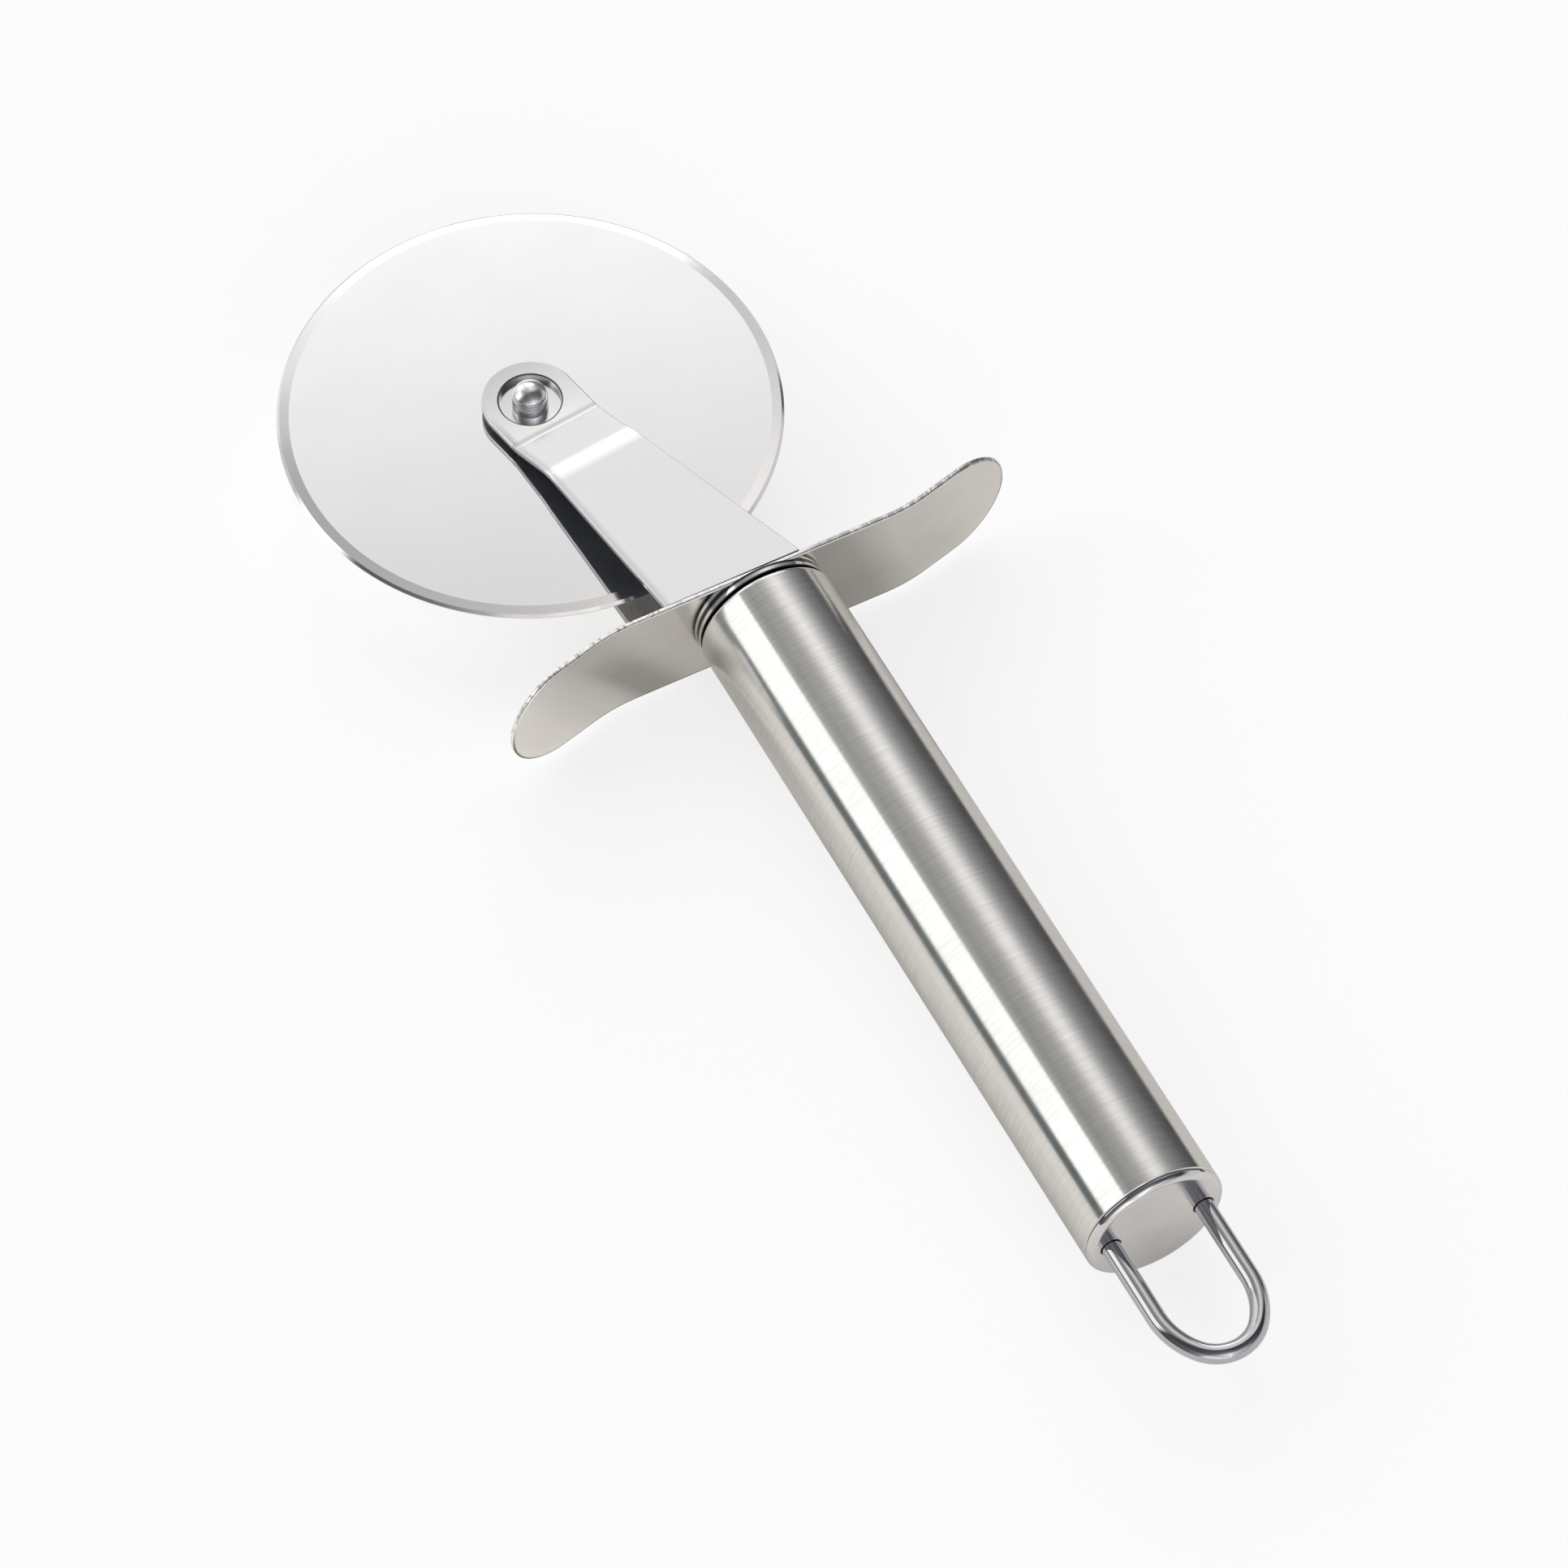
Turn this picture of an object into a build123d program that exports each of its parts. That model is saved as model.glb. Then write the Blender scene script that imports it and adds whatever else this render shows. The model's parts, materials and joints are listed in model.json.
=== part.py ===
from build123d import *
import math
import os

# A hand-held rolling cutter: a round blade in a sheet fork, a curved finger guard,
# a tubular handle and a wire hanging loop. Millimetres and degrees.
# X runs along the handle towards the loop, Z stands square to the blade.
# The origin is under the middle of the object, at the height of its lowest point.

# Round blade
wheel_diameter = 66.04
wheel_thickness = 1.2
bevel_width = 1.6
bevel_foot_thickness = 0.8
edge_land_width = 0.35
edge_thickness = 0.1

# Bearing between blade and fork
pin_diameter = 3.2
bush_diameter = 7.0
running_clearance = 0.05
washer_diameter = 9.0
washer_thickness = 0.3
washer_hole_clearance = 0.1

# Fork arms, bent from sheet
arm_sheet = 1.0
arm_tip_height = 2.7
arm_knee_height = 4.9
tip_radius = 6.35
knee_blend_radius = 20.0
root_half_width = 9.4
taper_start_distance = 11.0
first_bend_distance = 5.6
second_bend_distance = 13.0
bend_radius = 2.2
rim_to_screws = 3.88
fork_angle = 11.2
bend_line_angle = 6.5
fork_offset = 3.9
dish_diameter = 8.1
dish_depth = 1.0
dish_floor_thickness = 0.8
dish_edge_radius = 0.22
boss_wall = 0.8
arm_edge_radius = 0.2

# Heads on both ends of the axle
head_collar_diameter = 4.7
head_collar_height = 2.0
head_groove_diameter = 3.9
head_groove_width = 0.22
head_dome_diameter = 4.25
head_dome_rim = 0.35
head_dome_rise = 0.95
spigot_diameter = 2.2
spigot_length = 2.4
shank_hole_clearance = 0.03

# Plate that ties the arms together, and its screws
base_plate_thickness = 2.0
base_plate_width = 17.0
screw_diameter = 3.0
screw_length = 13.0
screw_spacing = 7.5
screw_middle_offset = 2.25
screw_head_diameter = 5.5
screw_head_height = 2.2
screw_head_edge = 0.3
socket_size = 2.5
socket_depth = 1.3
lock_washer_diameter = 5.4
lock_washer_thickness = 0.7
lock_washer_gap = 0.8
screw_hole_clearance = 0.15

# Finger guard
guard_sheet = 0.8
guard_height = 16.4
guard_half_length = 37.5
guard_flat_half = 18.0
guard_bend_radius = 26.0
guard_bend_angle = 14.5
guard_edge_radius = 0.28

# Handle
handle_diameter = 18.8
tube_wall = 0.6
tube_lip_radius = 0.8
tube_lip_reach = 0.5
tube_end_chamfer = 0.15
collar_diameter = 18.2
collar_flange = 0.9
collar_step_diameter = 16.7
collar_step = 0.3
collar_chamfer = 0.1
plug_length = 9.0
plug_clearance = 0.05
plug_bore_depth_margin = 0.8
guard_to_ring = 103.0

# End cap and hanging loop
cap_rim_height = 1.15
cap_face_thickness = 0.8
cap_skirt_length = 7.0
cap_skirt_wall = 0.7
cap_ring_chamfer = 0.18
leg_hole_clearance = 0.2
retainer_thickness = 1.5
wire_diameter = 2.5
leg_half_spacing = 6.4
loop_length = 20.65
loop_side_radius = 10.0
loop_end_radius = 5.4
wire_end_length = 1.2

# Length by which a cutting tool runs past the stock
overrun = 2.0

# Shares used to pick the edges of cut sheet: how level a wall's normal is, how steep an edge is
flatness = 0.05
steepness = 0.7


# Places, first measured from the middle of the guard's front face
turn = math.radians(fork_angle)
skew = math.radians(bend_line_angle)
wheel_radius = wheel_diameter / 2
handle_radius = handle_diameter / 2
arm_root_height = guard_height / 2
screw_stack = base_plate_thickness + lock_washer_thickness + screw_head_height
fork_length = wheel_radius + rim_to_screws + screw_stack
axle_x = -fork_length * math.cos(turn)
axle_y = -fork_offset - fork_length * math.sin(turn)
ring_x = guard_to_ring
cap_face = ring_x + cap_rim_height
loop_reach = cap_face + loop_length

front_end = axle_x - wheel_radius
rear_end = loop_reach
left_side = axle_y - wheel_radius
right_side = guard_half_length
guard_x = -(front_end + rear_end) / 2
handle_y = -(left_side + right_side) / 2
handle_z = handle_radius

middle = Vector(guard_x, handle_y, handle_z)
axle_point = middle + Vector(axle_x, axle_y, 0)

plan = Plane(origin=middle, x_dir=(1, 0, 0), z_dir=(0, 0, 1))
side = Plane(origin=middle, x_dir=(1, 0, 0), z_dir=(0, -1, 0))
across = Plane(origin=middle, x_dir=(0, 1, 0), z_dir=(1, 0, 0))
fork_plan = Plane(origin=axle_point, x_dir=(math.cos(turn), math.sin(turn), 0), z_dir=(0, 0, 1))
fork_side_normal = (math.sin(skew), -math.cos(skew), 0)
fork_side = Plane(origin=axle_point, x_dir=(math.cos(skew), math.sin(skew), 0), z_dir=fork_side_normal)
handle_axis = Axis(middle, (1, 0, 0))
axle_axis = Axis(axle_point, (0, 0, 1))
axle_side = Plane(origin=axle_point, x_dir=(1, 0, 0), z_dir=(0, -1, 0))

wheel_half = wheel_thickness / 2
pin_radius = pin_diameter / 2
bush_radius = bush_diameter / 2
washer_top = wheel_half + washer_thickness
dish_floor = washer_top + dish_floor_thickness


os.makedirs("parts", exist_ok=True)


# The blade is ground from both sides: a wide bevel, then a narrow land at the edge.
bevel_foot_radius = wheel_radius - edge_land_width
bevel_start_radius = wheel_radius - bevel_width
with BuildPart() as wheel_blade:
    with BuildSketch(axle_side):
        Polygon(
            (bush_radius, -wheel_half),
            (bevel_start_radius, -wheel_half),
            (bevel_foot_radius, -bevel_foot_thickness / 2),
            (wheel_radius, -edge_thickness / 2),
            (wheel_radius, edge_thickness / 2),
            (bevel_foot_radius, bevel_foot_thickness / 2),
            (bevel_start_radius, wheel_half),
            (bush_radius, wheel_half),
            align=None,
        )
    revolve(axis=axle_axis)
wheel_blade.part.label = "wheel_blade"
export_step(wheel_blade.part, "parts/wheel_blade.step")

# Bearing bush pressed into the blade, flush with both faces
with BuildPart() as wheel_bush:
    with BuildSketch(Plane(origin=axle_point)):
        Circle(bush_radius)
        Circle(pin_radius + running_clearance, mode=Mode.SUBTRACT)
    extrude(amount=wheel_half, both=True)
wheel_bush.part.label = "wheel_bush"
export_step(wheel_bush.part, "parts/wheel_bush.step")

# Thin washers that keep the blade off the arms
with BuildPart() as thrust_washers:
    with BuildSketch(Plane(origin=axle_point).offset(wheel_half)):
        Circle(washer_diameter / 2)
        Circle(pin_radius + washer_hole_clearance, mode=Mode.SUBTRACT)
    extrude(amount=washer_thickness)
    mirror(about=Plane(origin=axle_point))
thrust_washers.part.label = "thrust_washers"
export_step(thrust_washers.part, "parts/thrust_washers.step")


# Upper arm: a strip with two gentle bends, cut to a tapering outline with a round tip.
# A dish is pressed into the tip, and its underside is the boss that meets the washer.
skew_gap = turn - skew
root_distance = fork_length * math.cos(skew_gap)
climb = (arm_root_height - arm_knee_height) / (root_distance - second_bend_distance)
past_root = root_distance + base_plate_width / 2
past_root_height = arm_root_height + climb * (past_root - root_distance)
before_tip = -tip_radius - overrun
with BuildPart() as arm_upper:
    with BuildSketch(fork_side):
        with BuildLine():
            top_line = FilletPolyline(
                (before_tip, arm_tip_height),
                (first_bend_distance, arm_tip_height),
                (second_bend_distance, arm_knee_height),
                (past_root, past_root_height),
                radius=bend_radius,
            )
            offset(top_line, amount=arm_sheet, side=Side.RIGHT)
        make_face()
    extrude(amount=wheel_radius, both=True)
    split(bisect_by=Plane(origin=middle, x_dir=(0, 1, 0), z_dir=(1, 0, 0)), keep=Keep.BOTTOM)
    taper_share = (past_root - taper_start_distance) / (fork_length - taper_start_distance)
    past_half_width = tip_radius + (root_half_width - tip_radius) * taper_share
    with BuildSketch(fork_plan):
        with BuildLine():
            tip_arc = ThreePointArc((0, tip_radius), (-tip_radius, 0), (0, -tip_radius))
            FilletPolyline(
                tip_arc @ 1,
                (taper_start_distance, -tip_radius),
                (past_root, -past_half_width),
                radius=knee_blend_radius,
            )
            FilletPolyline(
                tip_arc @ 0,
                (taper_start_distance, tip_radius),
                (past_root, past_half_width),
                radius=knee_blend_radius,
            )
            Line((past_root, -past_half_width), (past_root, past_half_width))
        make_face()
    extrude(amount=handle_radius, mode=Mode.INTERSECT)
    cut_walls = arm_upper.faces().filter_by(lambda face: abs(face.normal_at().Z) < flatness)
    cut_walls = cut_walls.sort_by(Axis.X)[:-1]
    rim_edges = cut_walls.edges().filter_by(lambda edge: abs(edge.tangent_at(0.5).Z) < steepness)
    fillet(rim_edges, radius=arm_edge_radius)
    with BuildSketch(fork_plan.offset(arm_tip_height - dish_depth)):
        Circle(dish_diameter / 2)
    extrude(amount=dish_depth + overrun, mode=Mode.SUBTRACT)
    with BuildSketch(fork_plan.offset(washer_top)):
        Circle(dish_diameter / 2 + boss_wall)
    extrude(amount=arm_tip_height - dish_depth - washer_top)
    with BuildSketch(fork_plan):
        Circle(pin_radius + shank_hole_clearance)
    extrude(amount=handle_radius, mode=Mode.SUBTRACT)
    dish_edges = arm_upper.edges().filter_by(GeomType.CIRCLE)
    dish_edges = dish_edges.filter_by(lambda e: abs(e.radius - dish_diameter / 2) < running_clearance)
    fillet(dish_edges.group_by(Axis.Z)[-1], radius=dish_edge_radius)
arm_upper.part.label = "arm_upper"
export_step(arm_upper.part, "parts/arm_upper.step")

# Lower arm: the same pressing on the other side of the blade
with BuildPart() as arm_lower:
    mirror(arm_upper.part, about=Plane(origin=middle))
arm_lower.part.label = "arm_lower"
export_step(arm_lower.part, "parts/arm_lower.step")


# Turned head: a collar, a shallow groove and a low dome, above a given height
def head_outline(seat, bore):
    groove_bottom = seat + head_collar_height
    groove_top = groove_bottom + head_groove_width
    rim_top = groove_top + head_dome_rim
    dome_radius = head_dome_diameter / 2
    crown_radius = (dome_radius**2 + head_dome_rise**2) / (2 * head_dome_rise)
    with BuildLine() as outline:
        start = Polyline(
            (bore, seat),
            (head_collar_diameter / 2, seat),
            (head_collar_diameter / 2, groove_bottom),
            (head_groove_diameter / 2, groove_bottom),
            (head_groove_diameter / 2, groove_top),
            (dome_radius, groove_top),
            (dome_radius, rim_top),
        )
        RadiusArc(start @ 1, (0, rim_top + head_dome_rise), -crown_radius)
    return outline.line


spigot_radius = spigot_diameter / 2
spigot_top = dish_floor + spigot_length

# Axle: a plain shank with a turned head below and a spigot above
with BuildPart() as axle_pin:
    with BuildSketch(axle_side):
        with BuildLine():
            crown = head_outline(dish_floor, pin_radius)
            add(crown)
            Polyline(
                crown @ 1,
                (0, -spigot_top),
                (spigot_radius, -spigot_top),
                (spigot_radius, -dish_floor),
                (pin_radius, -dish_floor),
                (pin_radius, dish_floor),
            )
        make_face()
    revolve(axis=axle_axis)
    mirror(about=Plane(origin=axle_point), mode=Mode.REPLACE)
axle_pin.part.label = "axle_pin"
export_step(axle_pin.part, "parts/axle_pin.step")

# Cap pressed on the spigot, the same shape as the head below
with BuildPart() as axle_cap:
    with BuildSketch(axle_side):
        with BuildLine():
            crown = head_outline(dish_floor, spigot_radius)
            add(crown)
            Polyline(
                crown @ 1,
                (0, spigot_top),
                (spigot_radius, spigot_top),
                (spigot_radius, dish_floor),
            )
        make_face()
    revolve(axis=axle_axis)
axle_cap.part.label = "axle_cap"
export_step(axle_cap.part, "parts/axle_cap.step")


# Screws sit side by side in the blade's plane, one on each side of this line
screw_radius = screw_diameter / 2
screw_places = [(-screw_middle_offset - screw_spacing / 2, 0), (-screw_middle_offset + screw_spacing / 2, 0)]

# Plate between the arms, flat on the guard
inner_drop = arm_sheet / math.cos(math.atan(climb))
plate_front = root_distance - base_plate_thickness - base_plate_width / 2
front_height = arm_root_height - inner_drop - climb * (root_distance - plate_front)
back_height = past_root_height - inner_drop
with BuildPart() as fork_base:
    with BuildSketch(fork_side):
        Polygon(
            (plate_front, -front_height),
            (past_root, -back_height),
            (past_root, back_height),
            (plate_front, front_height),
            align=None,
        )
    extrude(amount=wheel_radius, both=True)
    with BuildSketch(across):
        with Locations((-fork_offset, 0)):
            Rectangle(base_plate_width, handle_diameter)
    extrude(amount=-base_plate_thickness, mode=Mode.INTERSECT)
    with BuildSketch(across):
        with Locations(*screw_places):
            Circle(screw_radius + screw_hole_clearance)
    extrude(amount=-base_plate_thickness, mode=Mode.SUBTRACT)
fork_base.part.label = "fork_base"
export_step(fork_base.part, "parts/fork_base.step")

# Split washers under the screw heads
with BuildPart() as lock_washers:
    with BuildSketch(across.offset(-base_plate_thickness)):
        with Locations(*screw_places):
            Circle(lock_washer_diameter / 2)
            Circle(screw_radius + screw_hole_clearance, mode=Mode.SUBTRACT)
        with Locations(*[(y, z + lock_washer_diameter / 4) for y, z in screw_places]):
            Rectangle(lock_washer_gap, lock_washer_diameter / 2, mode=Mode.SUBTRACT)
    extrude(amount=-lock_washer_thickness)
lock_washers.part.label = "lock_washers"
export_step(lock_washers.part, "parts/lock_washers.step")

# Socket screws that hold fork, guard and collar to the plug in the handle
head_seat = -base_plate_thickness - lock_washer_thickness
head_face = head_seat - screw_head_height
with BuildPart() as fork_screws:
    with BuildSketch(across.offset(head_face)):
        with Locations(*screw_places):
            Circle(screw_head_diameter / 2)
    extrude(amount=screw_head_height)
    fillet(fork_screws.edges().group_by(Axis.X)[0], radius=screw_head_edge)
    with BuildSketch(across.offset(head_seat)):
        with Locations(*screw_places):
            Circle(screw_radius)
    extrude(amount=screw_length)
    with BuildSketch(across.offset(head_face)):
        with Locations(*screw_places):
            RegularPolygon(socket_size / 2, 6, major_radius=False)
    extrude(amount=socket_depth, mode=Mode.SUBTRACT)
fork_screws.part.label = "fork_screws"
export_step(fork_screws.part, "parts/fork_screws.step")


# Finger guard: a strip with a flat middle whose ends turn opposite ways
guard_middle = guard_sheet / 2
bend = math.radians(guard_bend_angle)
arc_reach = guard_bend_radius * math.sin(bend)
tip_run = (guard_half_length + overrun - guard_flat_half - arc_reach) / math.cos(bend)
with BuildPart() as guard:
    with BuildSketch(plan):
        with BuildLine():
            flat = Line((guard_middle, -guard_flat_half), (guard_middle, guard_flat_half))
            right_arc = JernArc(flat @ 1, (0, 1), guard_bend_radius, guard_bend_angle)
            Line(right_arc @ 1, (right_arc @ 1) + (right_arc % 1) * tip_run)
            left_arc = JernArc(flat @ 0, (0, -1), guard_bend_radius, guard_bend_angle)
            Line(left_arc @ 1, (left_arc @ 1) + (left_arc % 1) * tip_run)
        trace(line_width=guard_sheet)
    extrude(amount=handle_radius, both=True)
    with BuildSketch(across):
        SlotOverall(2 * guard_half_length, guard_height)
    extrude(amount=wheel_radius, both=True, mode=Mode.INTERSECT)
    long_edges = guard.edges().filter_by(lambda edge: abs(edge.tangent_at(0.5).X) < steepness)
    long_edges = long_edges.filter_by(Axis.Z, reverse=True)
    fillet(long_edges, radius=guard_edge_radius)
    with BuildSketch(across):
        with Locations(*screw_places):
            Circle(screw_radius + screw_hole_clearance)
    extrude(amount=guard_sheet, mode=Mode.SUBTRACT)
guard.part.label = "guard"
export_step(guard.part, "parts/guard.step")

# Collar between guard and handle: a flange, and a smaller step that leaves a dark slot at the tube
collar_front = guard_sheet
collar_back = collar_front + collar_flange
tube_front = collar_back + collar_step
with BuildPart() as neck_collar:
    with BuildSketch(across.offset(collar_front)):
        Circle(collar_diameter / 2)
    extrude(amount=collar_flange)
    chamfer(neck_collar.faces().sort_by(Axis.X)[-1].outer_wire().edges(), length=collar_chamfer)
    with BuildSketch(across.offset(collar_back)):
        Circle(collar_step_diameter / 2)
    extrude(amount=collar_step)
    with BuildSketch(across.offset(collar_front)):
        with Locations(*screw_places):
            Circle(screw_radius + screw_hole_clearance)
    extrude(amount=collar_flange + collar_step, mode=Mode.SUBTRACT)
neck_collar.part.label = "neck_collar"
export_step(neck_collar.part, "parts/neck_collar.step")


# Handle tube, its front edge rolled inwards to a short lip
tube_inner_radius = handle_radius - tube_wall
lip_centre_radius = handle_radius - tube_lip_radius
lip_centre_x = tube_front + tube_lip_radius
lip_inner_radius = lip_centre_radius - tube_lip_reach
lip_back = tube_front + tube_wall
inner_lip_arc = tube_lip_radius - tube_wall
with BuildPart() as handle_tube:
    with BuildSketch(side):
        with BuildLine():
            lip_face = Line((tube_front, lip_inner_radius), (tube_front, lip_centre_radius))
            shoulder = RadiusArc(lip_face @ 1, (lip_centre_x, handle_radius), tube_lip_radius)
            rest = Polyline(
                shoulder @ 1,
                (ring_x - tube_end_chamfer, handle_radius),
                (ring_x, handle_radius - tube_end_chamfer),
                (ring_x, tube_inner_radius),
                (lip_centre_x, tube_inner_radius),
            )
            inner = RadiusArc(rest @ 1, (lip_back, lip_centre_radius), -inner_lip_arc)
            Polyline(inner @ 1, (lip_back, lip_inner_radius), lip_face @ 0)
        make_face()
    revolve(axis=handle_axis)
handle_tube.part.label = "handle_tube"
export_step(handle_tube.part, "parts/handle_tube.step")

# Plug behind the lip, tapped for the two screws
plug_radius = tube_inner_radius - plug_clearance
with BuildPart() as front_plug:
    with BuildSketch(across.offset(tube_front)):
        Circle(lip_inner_radius - plug_clearance)
    extrude(amount=tube_wall)
    with BuildSketch(across.offset(lip_back)):
        Circle(plug_radius)
    extrude(amount=plug_length)
    chamfer(front_plug.edges().group_by(Axis.X)[-1], length=tube_end_chamfer)
    plug_shoulder = front_plug.edges().filter_by(GeomType.CIRCLE)
    plug_shoulder = plug_shoulder.filter_by(lambda e: abs(e.radius - plug_radius) < plug_clearance / 2)
    chamfer(plug_shoulder.group_by(Axis.X)[0], length=inner_lip_arc)
    with BuildSketch(across.offset(tube_front)):
        with Locations(*screw_places):
            Circle(screw_radius)
    extrude(amount=head_seat + screw_length + plug_bore_depth_margin - tube_front, mode=Mode.SUBTRACT)
front_plug.part.label = "front_plug"
export_step(front_plug.part, "parts/front_plug.step")


# End cap: a flat face with a rounded rim, and a skirt pressed into the tube
cap_edge_radius = cap_rim_height - cap_ring_chamfer
skirt_radius = tube_inner_radius
skirt_inner_radius = skirt_radius - cap_skirt_wall
skirt_end = ring_x - cap_skirt_length
face_back = cap_face - cap_face_thickness
wire_radius = wire_diameter / 2
leg_places = [(-leg_half_spacing, 0), (leg_half_spacing, 0)]
with BuildPart() as end_cap:
    with BuildSketch(side):
        with BuildLine():
            inside = Polyline(
                (cap_face, 0),
                (face_back, 0),
                (face_back, skirt_inner_radius),
                (skirt_end, skirt_inner_radius),
                (skirt_end, skirt_radius),
                (ring_x, skirt_radius),
                (ring_x, handle_radius - cap_ring_chamfer),
                (ring_x + cap_ring_chamfer, handle_radius),
            )
            rounding = RadiusArc(inside @ 1, (cap_face, handle_radius - cap_edge_radius), cap_edge_radius)
            Line(rounding @ 1, inside @ 0)
        make_face()
    revolve(axis=handle_axis)
    with BuildSketch(across.offset(cap_face)):
        with Locations(*leg_places):
            Circle(wire_radius + leg_hole_clearance)
    extrude(amount=-cap_rim_height, mode=Mode.SUBTRACT)
end_cap.part.label = "end_cap"
export_step(end_cap.part, "parts/end_cap.step")

# Plate inside the cap that grips the wire ends
retainer_front = face_back - retainer_thickness
with BuildPart() as loop_retainer:
    with BuildSketch(across.offset(retainer_front)):
        Circle(skirt_inner_radius)
        with Locations(*leg_places):
            Circle(wire_radius, mode=Mode.SUBTRACT)
    extrude(amount=retainer_thickness)
loop_retainer.part.label = "loop_retainer"
export_step(loop_retainer.part, "parts/loop_retainer.step")

# Hanging loop: two straight legs, two wide arcs and a tighter round end
leg_start = retainer_front - wire_end_length
apex_x = loop_reach - wire_radius
end_centre_x = apex_x - loop_end_radius
side_centre_y = leg_half_spacing - loop_side_radius
radius_gap = loop_side_radius - loop_end_radius
side_centre_x = end_centre_x - math.sqrt(radius_gap**2 - side_centre_y**2)
join_x = end_centre_x + (end_centre_x - side_centre_x) * loop_end_radius / radius_gap
join_y = -side_centre_y * loop_end_radius / radius_gap
with BuildPart() as hanging_loop:
    with BuildLine(plan) as loop_line:
        left_leg = Line((leg_start, -leg_half_spacing), (side_centre_x, -leg_half_spacing))
        left_side_arc = RadiusArc(left_leg @ 1, (join_x, -join_y), -loop_side_radius)
        end_arc = RadiusArc((join_x, -join_y), (join_x, join_y), -loop_end_radius)
        right_side_arc = RadiusArc((join_x, join_y), (side_centre_x, leg_half_spacing), -loop_side_radius)
        Line((side_centre_x, leg_half_spacing), (leg_start, leg_half_spacing))
    with BuildSketch(across.offset(leg_start)):
        with Locations((-leg_half_spacing, 0)):
            Circle(wire_radius)
    sweep(path=loop_line.line)
hanging_loop.part.label = "hanging_loop"
export_step(hanging_loop.part, "parts/hanging_loop.step")


pieces = [
    wheel_blade,
    wheel_bush,
    thrust_washers,
    arm_upper,
    arm_lower,
    axle_pin,
    axle_cap,
    fork_base,
    lock_washers,
    fork_screws,
    guard,
    neck_collar,
    handle_tube,
    front_plug,
    end_cap,
    loop_retainer,
    hanging_loop,
]
whole = Compound(children=[piece.part for piece in pieces])
box = whole.bounding_box()
print("axle", axle_point, "guard front", middle)
print("box", box.min, box.max, "size", box.size)
print("join", join_x, join_y, "side centre", side_centre_x)
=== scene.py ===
"""Finishes for a rolling pizza cutter: detailed pieces, metal surfaces and a plain studio."""

import json
import math

import bpy
from bpy.props import FloatProperty, FloatVectorProperty, IntProperty, PointerProperty
from mathutils import Matrix, Vector


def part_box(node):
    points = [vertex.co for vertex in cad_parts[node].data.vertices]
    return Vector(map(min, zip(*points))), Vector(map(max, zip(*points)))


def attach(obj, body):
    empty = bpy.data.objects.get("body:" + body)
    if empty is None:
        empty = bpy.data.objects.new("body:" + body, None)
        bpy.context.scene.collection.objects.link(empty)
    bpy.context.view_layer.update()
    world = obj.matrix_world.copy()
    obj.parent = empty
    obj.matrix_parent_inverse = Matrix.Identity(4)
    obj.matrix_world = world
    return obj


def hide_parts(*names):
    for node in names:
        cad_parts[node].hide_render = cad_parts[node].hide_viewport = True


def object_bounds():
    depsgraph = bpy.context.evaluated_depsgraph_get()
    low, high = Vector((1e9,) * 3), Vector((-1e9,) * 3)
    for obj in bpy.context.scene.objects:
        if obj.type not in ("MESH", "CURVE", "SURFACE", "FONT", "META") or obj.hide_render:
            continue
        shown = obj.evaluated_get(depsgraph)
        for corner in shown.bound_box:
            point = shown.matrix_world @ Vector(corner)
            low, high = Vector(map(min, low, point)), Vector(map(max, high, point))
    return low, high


bl_info = {
    "name": "Rolling Cutter Finishes",
    "version": (1, 0, 0),
    "blender": (4, 5, 0),
    "location": "View3D > Sidebar > Cutter",
    "description": "Detailed pieces, metal finishes and a studio for the packed rolling cutter",
    "category": "Object",
}

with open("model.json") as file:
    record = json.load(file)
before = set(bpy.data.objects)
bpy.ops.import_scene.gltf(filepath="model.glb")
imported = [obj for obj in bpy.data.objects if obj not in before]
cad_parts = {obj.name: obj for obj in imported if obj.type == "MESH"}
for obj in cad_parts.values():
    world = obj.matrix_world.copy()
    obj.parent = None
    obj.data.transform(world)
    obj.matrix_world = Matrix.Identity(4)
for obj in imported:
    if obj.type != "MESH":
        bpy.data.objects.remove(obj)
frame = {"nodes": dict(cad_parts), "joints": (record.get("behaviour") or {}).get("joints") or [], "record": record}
CAD_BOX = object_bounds()

MM = 0.001
FULL_TURN = 2 * math.pi
X_AXIS = Vector((1, 0, 0))
Z_AXIS = Vector((0, 0, 1))
ALONG_X = (0.0, math.pi / 2, 0.0)
BLACK = (0.0, 0.0, 0.0, 1.0)
WHITE = (1.0, 1.0, 1.0, 1.0)

# Points closer than this are one point, and a point this close to a place is at it
MERGE = 0.5e-6
NEAR = 0.02 * MM
# Ranges of a noise: the first uses all of it, the second makes patches
EVEN = (0.3, 0.7)
PATCHY = (0.35, 0.7)
# Strength of the studio's lights, whose tones are shares of it
BRIGHTEST = 1.6
BEND_STEPS = 8
DRILL_REACH = 3 * MM
TAPER_BLEND = 20.0 * MM
SCREW_HOLE = 1.65 * MM
SCREW_PLACES = (-6.0 * MM, 1.5 * MM)

AXLE = Vector(frame["joints"][0]["pos_m"])
GRIP = Vector(frame["record"]["mounts"][0]["pos_m"])
COLLAR_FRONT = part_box("neck_collar")[0].x
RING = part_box("handle_tube")[1].x
GRIP_HALF = GRIP.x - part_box("handle_tube")[0].x


def mm(*values):
    """Lengths in metres, given in millimetres."""
    return [value * MM for value in values]


def size(name, default, about):
    """A length in metres, given in millimetres."""
    return FloatProperty(name=name, description=about, default=default * MM, unit="LENGTH", precision=4)


def degrees(name, default, about):
    """An angle in radians, given in degrees."""
    return FloatProperty(name=name, description=about, default=math.radians(default), subtype="ANGLE")


def number(name, default, about):
    return FloatProperty(name=name, description=about, default=default)


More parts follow.
